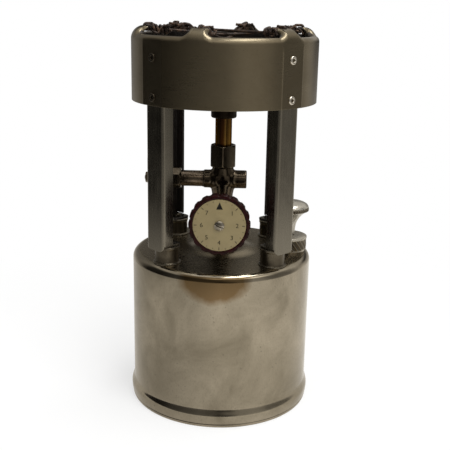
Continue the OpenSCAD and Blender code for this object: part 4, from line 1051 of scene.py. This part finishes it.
def knurl(count, depth, edge_r, slant=0.0):
    """Radius law of ribs on the side of a cap, from the radius edge_r outwards."""

    def law(angles, r, z):
        ribs = np.abs(((angles * count / (2 * PI) + z * slant) % 1) - 0.5) * 2
        return r - np.where(r >= edge_r, depth * ease(ribs), 0)

    return law


def pump():
    """Barrel with its flange, ribbed cap, and mushroom knob with a knurled grip."""
    at = move(PUMP_X, 0, 0)
    bore_r, barrel_r, flange_r, flange_top, collar_top = 7.2, 8, 9, TANK_TOP + 1.5, TANK_TOP + 6.7
    flange = [(bore_r, TANK_TOP - 2), (barrel_r, TANK_TOP - 2), (barrel_r, TANK_TOP), (flange_r, TANK_TOP)]
    flange += [(flange_r, flange_top), (barrel_r, flange_top), (barrel_r, collar_top), (bore_r, collar_top)]
    low = heights("pump_barrel")[0]
    tube_line = [(bore_r, TANK_TOP - 1), (barrel_r, TANK_TOP - 1), (barrel_r, low), (bore_r, low)]
    lines = rounded(flange, [0.1, 0.1, 0.1, 0.4, 0.1, 0.2]), rounded(tube_line, 0.2)
    barrel = [placed(lathe(line, 72, loop=True), at) for line in lines]
    piece("pump_barrel_drawn", barrel, "pump_nickel", ["pump_barrel"])

    low, high = heights("pump_cap")
    rim_low, rim_r, band_r, ribs, hole_r, skirt_r, top_t = high - 1.9, 10.1, 9.95, 22, 2.6, 7, 2.4
    core_r = band_r - 0.8
    cap = [(skirt_r, low), (core_r, low), (core_r, rim_low), (rim_r, rim_low + 0.1), (rim_r, high - 0.7)]
    cap += [(9.0, high - 0.15), (hole_r, high), (hole_r, high - top_t)]
    cap += [(skirt_r, high - top_t), (skirt_r, low)]
    cap = rounded(cap, [0.2, 0.1, 0.2, 0.3, 0.5, 0.3, 0.2, 0.2])
    piece("pump_cap_spun", spun(cap, 120, at, loop=True), "cap_nickel", ["pump_cap"])
    band = dense([(band_r, low + 0.2), (band_r, rim_low - 0.1)], 0.35)
    band = [(core_r - 0.3, low + 0.1), *band, (core_r - 0.3, rim_low)]
    band = spun(band, ribs * 16, at, loop=True, shape=knurl(ribs, 0.55, band_r - 0.01, 0.26))
    piece("pump_cap_ribs", band, "post_nickel")

    low, high = heights("pump_knob")
    band_low, band_top, stem_r, flare = high - 5.6, high - 3.5, 3.1, 6.2
    grip_r, groove_r, dome_r, knurls = 10.6, 10.1, 10.4, 40
    stem = [(stem_r + flare * t**3, low + (band_low - 0.3 - low) * t) for t in np.linspace(0, 1, 22)]
    dome = []
    for a in np.linspace(0, PI / 2, 18):
        dome.append((dome_r * max(0.0, math.cos(a)) ** 0.75, band_top + (high - band_top) * math.sin(a)))
    line = rounded([(0, low), (stem_r, low), stem[1]], 0.2) + stem[2:]
    groove = [stem[-1], (groove_r, band_low), (groove_r, band_top), dome[1]]
    line += rounded(groove, [0.3, 0.1])[1:] + dome[2:]
    piece("pump_knob_spun", spun(line, 120, at), "knob_nickel", ["pump_knob"], "knob")
    side = dense([(grip_r, band_low + 0.2), (grip_r, band_top - 0.2)], 0.3)
    grip = [(groove_r - 0.2, band_low + 0.1), *side, (groove_r - 0.2, band_top - 0.1)]
    grip = spun(grip, knurls * 8, at, loop=True, shape=knurl(knurls, 0.3, grip_r - 0.05))
    piece("pump_knob_grip", grip, "post_nickel", body="knob")


def filler():
    """Filler neck, knurled cap and the knurled air screw on it."""
    at = move(0, FILLER_Y, 0)
    mouth_r, thread_r, neck_r, neck_top = 6, 7, 8, TANK_TOP + 5
    cap_r, skirt_r, screw_r, knurls, screw_knurls = 10.0, 8.3, 4.5, 34, 24
    neck = [(mouth_r, TANK_TOP - 3), (thread_r, TANK_TOP - 3), (thread_r, TANK_TOP), (neck_r, TANK_TOP)]
    neck = rounded(neck + [(neck_r, neck_top), (mouth_r, neck_top)], 0.25)
    neck = spun(neck, 72, at, loop=True)
    piece("filler_neck_turned", neck, "pump_nickel", ["filler_neck"])
    low, high = heights("filler_cap")
    inside = heights("filler_gasket")[1] + 0.05
    side = dense([(cap_r, low + 0.5), (cap_r, high - 1.6)], 0.35)
    crown = [side[-1], (9.4, high - 0.7), (7, high), (0, high)]
    crown += [(0, inside), (skirt_r, inside), (skirt_r, low)]
    cap = rounded([(skirt_r, low), (9.6, low), side[0]], 0.3) + side[1:]
    cap += rounded(crown, [0.5, 1.2, 0, 0, 0.3])[1:]
    cap = spun(cap, knurls * 10, at, shape=knurl(knurls, 0.34, cap_r - 0.05))
    piece("filler_cap_knurled", cap, "pump_nickel", ["filler_cap"], "filler_top")
    top = heights("filler_screw")[1]
    side = dense([(screw_r, high + 0.5), (screw_r, top - 0.9)], 0.3)
    crown = [side[-1], (4.0, top - 0.2), (2.5, top), (0, top)]
    head = rounded([(0, high), (4.2, high), side[0]], 0.2) + side[1:] + rounded(crown, [0.4, 0.6])[1:]
    head = spun(head, screw_knurls * 10, at, shape=knurl(screw_knurls, 0.22, screw_r - 0.05))
    piece("filler_screw_head_knurled", head, "small_steel", ["filler_screw"], "filler_top")


tank()
posts()
legs()
leg_screws()
drum()
rivets()
wires()
burner()
valve()
hand_wheel()
cleaner()
pump()
filler()


# Studio

FILL_LEVEL = 0.42
ROOM_R = 0.45
SCREEN_TINT = (1.0, 0.956, 0.878)

# Brightness of the dim room that the metal mirrors: places, and the values there.
# Azimuth is 0 at the camera and 90 at the pump, in degrees; height is in metres
FRONT_LEVELS = (
    (-125, -100, -75, -50, -25, -6, 3, 15, 22, 45, 54, 62, 75, 90, 105, 125),
    (0.36, 0.03, 0.02, 0.065, 0.125, 0.14, 0.17, 0.35, 0.4, 0.4, 0.34, 0.21, 0.22, 0.18, 0.36, 0.8),
)
FOOT_GAIN = (0.0, 0.06, 0.14), (1.7, 1.2, 1.0)
CEILING_GLOW = (0.4, 0.7, 1.4), (0.0, 0.35, 0.9)
DARK_FOOT = (-112, -104, -64, -56, -6, 0, 16, 24, 55), (1.0, 0.5, 0.6, 1.0, 1.0, 0.3, 0.3, 0.75, 1.0)
DARK_FOOT_FADE = (0.09, 0.13), (1.0, 0.0)
WINDOWS = (40, 36, 2.0), (-7, 13, 1.5), (-90, 40, 0.35)  # azimuth, width and brightness of each
WINDOW_Z, WINDOW_H = 0.56, 0.11
BACK_LEVELS = (0.0, 0.12, 0.2, 0.32, 0.5, 1.4), (0.6, 0.4, 0.02, 0.02, 0.35, 0.8)
NOTCH_AT = 3  # degrees past straight behind the stove, where the back is darkest
NOTCH_LEFT = (5, 15, 35), (0.0, 0.18, 0.26)
NOTCH_RIGHT = (-9, -3), (0.3, 0.0)
RIGHT_GAIN = (0.2, 0.25, 0.3), (0.0, 0.6, 2.0)
BACK_FROM, BACK_BLEND = 112, 25

# Brightness of the table top: places from left to right in metres, and the values there
TABLE_LEVELS = (
    (-0.4, -0.3, -0.23, -0.12, -0.05, 0.0, 0.12, 0.3),
    (0.25, 0.46, 0.66, 0.62, 0.74, 0.87, 0.9, 0.8),
)


def light_path(tree):
    """1 for rays from the camera and for rays that leave metal or glass, 0 for the others."""
    path = tree.nodes.new("ShaderNodeLightPath")
    value = path.outputs["Is Camera Ray"]
    for kind in ("Is Glossy Ray", "Is Transmission Ray"):
        either = tree.nodes.new("ShaderNodeMath")
        either.operation = "MAXIMUM"
        tree.links.new(value, either.inputs[0])
        tree.links.new(path.outputs[kind], either.inputs[1])
        value = either.outputs[0]
    return value


def world():
    """White surround for the camera and for reflections, softer as fill light."""
    made = bpy.data.worlds.new("studio")
    bpy.context.scene.world = made
    made.use_nodes = True
    tree = made.node_tree
    level = tree.nodes.new("ShaderNodeMapRange")
    level.inputs["To Min"].default_value, level.inputs["To Max"].default_value = FILL_LEVEL, 1.0
    tree.links.new(light_path(tree), level.inputs["Value"])
    tree.links.new(level.outputs[0], tree.nodes["Background"].inputs["Strength"])
    tree.nodes["Background"].inputs["Color"].default_value = (1, 1, 1, 1)


def stage_piece(name, points, faces, shader):
    """A mesh of the studio itself."""
    mesh = bpy.data.meshes.new(name)
    mesh.from_pydata(points, [], faces)
    mesh.materials.append(shader.material)
    obj = bpy.data.objects.new(name, mesh)
    bpy.context.collection.objects.link(obj)
    return obj


def floor():
    """Pale floor that keeps the stove's soft shadow and turns plain white away from it."""
    half, paper_tint, near, far, near_white = 9, (0.9, 0.9, 0.89), 0.06, 0.30, 0.6
    s = Shader("floor_paper")
    away = s.node("VectorMath", {"operation": "LENGTH"}, _0=s.place).outputs["Value"]
    amount = s.math("MULTIPLY", light_path(s.tree), s.range(away, near, far, near_white, 1.0))
    paper, white = s.node("BsdfDiffuse", Color=paper_tint), s.node("Emission")
    s.surface(s.node("MixShader", _0=amount, _1=paper.outputs[0], _2=white.outputs[0]))
    corners = [(-half, -half, 0), (half, -half, 0), (half, half, 0), (-half, half, 0)]
    stage_piece("floor", corners, [(0, 1, 2, 3)], s)


def screen(name, points, levels):
    """Grey screen that only reflections see. points is a grid of places and levels its brightness at each."""
    rows, columns = levels.shape
    faces = []
    for first in (r * columns + c for r in range(rows - 1) for c in range(columns - 1)):
        faces.append((first, first + 1, first + columns + 1, first + columns))
    s = Shader(name)
    level = s.node("Attribute", {"attribute_name": "level"}).outputs["Fac"]
    s.surface(s.node("Emission", Color=SCREEN_TINT, Strength=level))
    obj = stage_piece(name, points.reshape(-1, 3).tolist(), faces, s)
    values = obj.data.attributes.new("level", "FLOAT", "POINT").data
    values.foreach_set("value", levels.ravel().astype(np.float32))
    obj.visible_camera = False
    obj.visible_diffuse = False
    obj.visible_shadow = False


def room():
    """Dim room round the table: dark to the left, lighter to the right, windows in front, a dark back."""
    steps = np.concatenate([(0.0, 0.03, 0.06, 0.1, 0.14), np.arange(0.2, 1.0, 0.05), (1.1, 1.4)])
    azimuth, height = np.meshgrid(np.linspace(-180, 180, 121), steps)
    front = np.interp(azimuth, *FRONT_LEVELS) * np.interp(height, *FOOT_GAIN)
    front += np.interp(height, *CEILING_GLOW)
    front *= 1 + (np.interp(azimuth, *DARK_FOOT) - 1) * np.interp(height, *DARK_FOOT_FADE)
    for middle, width, level in WINDOWS:
        spread = ((azimuth - middle) / width) ** 2 + ((height - WINDOW_Z) / WINDOW_H) ** 2
        front += level * np.exp(-spread)
    from_notch = (azimuth - NOTCH_AT) % 360 - 180
    right = np.interp(from_notch, *NOTCH_RIGHT) * np.interp(height, *RIGHT_GAIN)
    glow = np.where(from_notch < 0, right, np.interp(from_notch, *NOTCH_LEFT))
    back = np.maximum(np.interp(height, *BACK_LEVELS), glow)
    levels = front + (back - front) * np.clip((np.abs(azimuth) - BACK_FROM) / BACK_BLEND, 0, 1)
    a = np.radians(azimuth)
    screen("room", np.stack([ROOM_R * np.sin(a), -ROOM_R * np.cos(a), height], -1), levels)


def table():
    """Table top as the metal sees it: bright on the key lamp's side, dimmer on the other and by the stove."""
    above_floor, shade, shade_at, shade_r = 0.0003, 0.3, -0.05, 0.07
    x, y = np.meshgrid(np.linspace(-ROOM_R, ROOM_R, 61), np.linspace(-ROOM_R, ROOM_R, 61))
    levels = np.interp(x, *TABLE_LEVELS)
    levels *= 1 - shade * np.exp(-((x - shade_at) ** 2 + (y - shade_at) ** 2) / shade_r**2)
    screen("table", np.stack([x, y, np.full_like(x, above_floor)], -1), levels)


def lamp(name, place, size, power, mirrored):
    """Oblong lamp aimed at the stove. mirrored says if polished metal shows it."""
    aim = Vector((0, 0, 0.1))
    light = bpy.data.lights.new(name, "AREA")
    light.shape = "RECTANGLE"
    light.size, light.size_y = size
    light.energy = power
    obj = bpy.data.objects.new(name, light)
    obj.location = place
    obj.rotation_euler = (aim - Vector(place)).to_track_quat("-Z", "Y").to_euler()
    obj.visible_glossy = mirrored
    bpy.context.collection.objects.link(obj)


world()
floor()
room()
table()
lamp("key", (0.55, -0.75, 0.95), (0.7, 0.7), 8, False)
lamp("fill", (-0.8, -0.5, 0.7), (0.8, 0.8), 3, False)
lamp("top", (0.25, -0.05, 1.1), (1.1, 0.3), 7, True)

# Camera, fitted to the ellipses of the tank and the drum in the photograph

FOCAL_PX, IMAGE_PX, SENSOR = 798.8, 450, 36.0
DISTANCE, HEIGHT = 0.4443, 0.2254
YAW, PITCH, ROLL = 0.004, 0.2726, 0.0188
AZIMUTH = math.radians(1.92)


def camera():
    data = bpy.data.cameras.new("camera")
    data.sensor_width, data.lens = SENSOR, FOCAL_PX / IMAGE_PX * SENSOR
    data.clip_start, data.clip_end = 0.01, 50
    obj = bpy.data.objects.new("camera", data)
    bpy.context.collection.objects.link(obj)
    ahead = Vector((math.sin(YAW) * math.cos(PITCH), math.cos(YAW) * math.cos(PITCH), -math.sin(PITCH)))
    right = Vector((math.cos(YAW), -math.sin(YAW), 0))
    up = right.cross(ahead)
    c, s = math.cos(ROLL), math.sin(ROLL)
    right, up = c * right + s * up, c * up - s * right
    look = Matrix((right, up, -ahead)).transposed().to_4x4()
    look.translation = (0, -DISTANCE, HEIGHT)
    obj.matrix_world = Matrix.Rotation(AZIMUTH, 4, "Z") @ look
    bpy.context.scene.camera = obj


camera()
bpy.context.scene.view_settings.view_transform = "Standard"

bpy.context.view_layer.update()
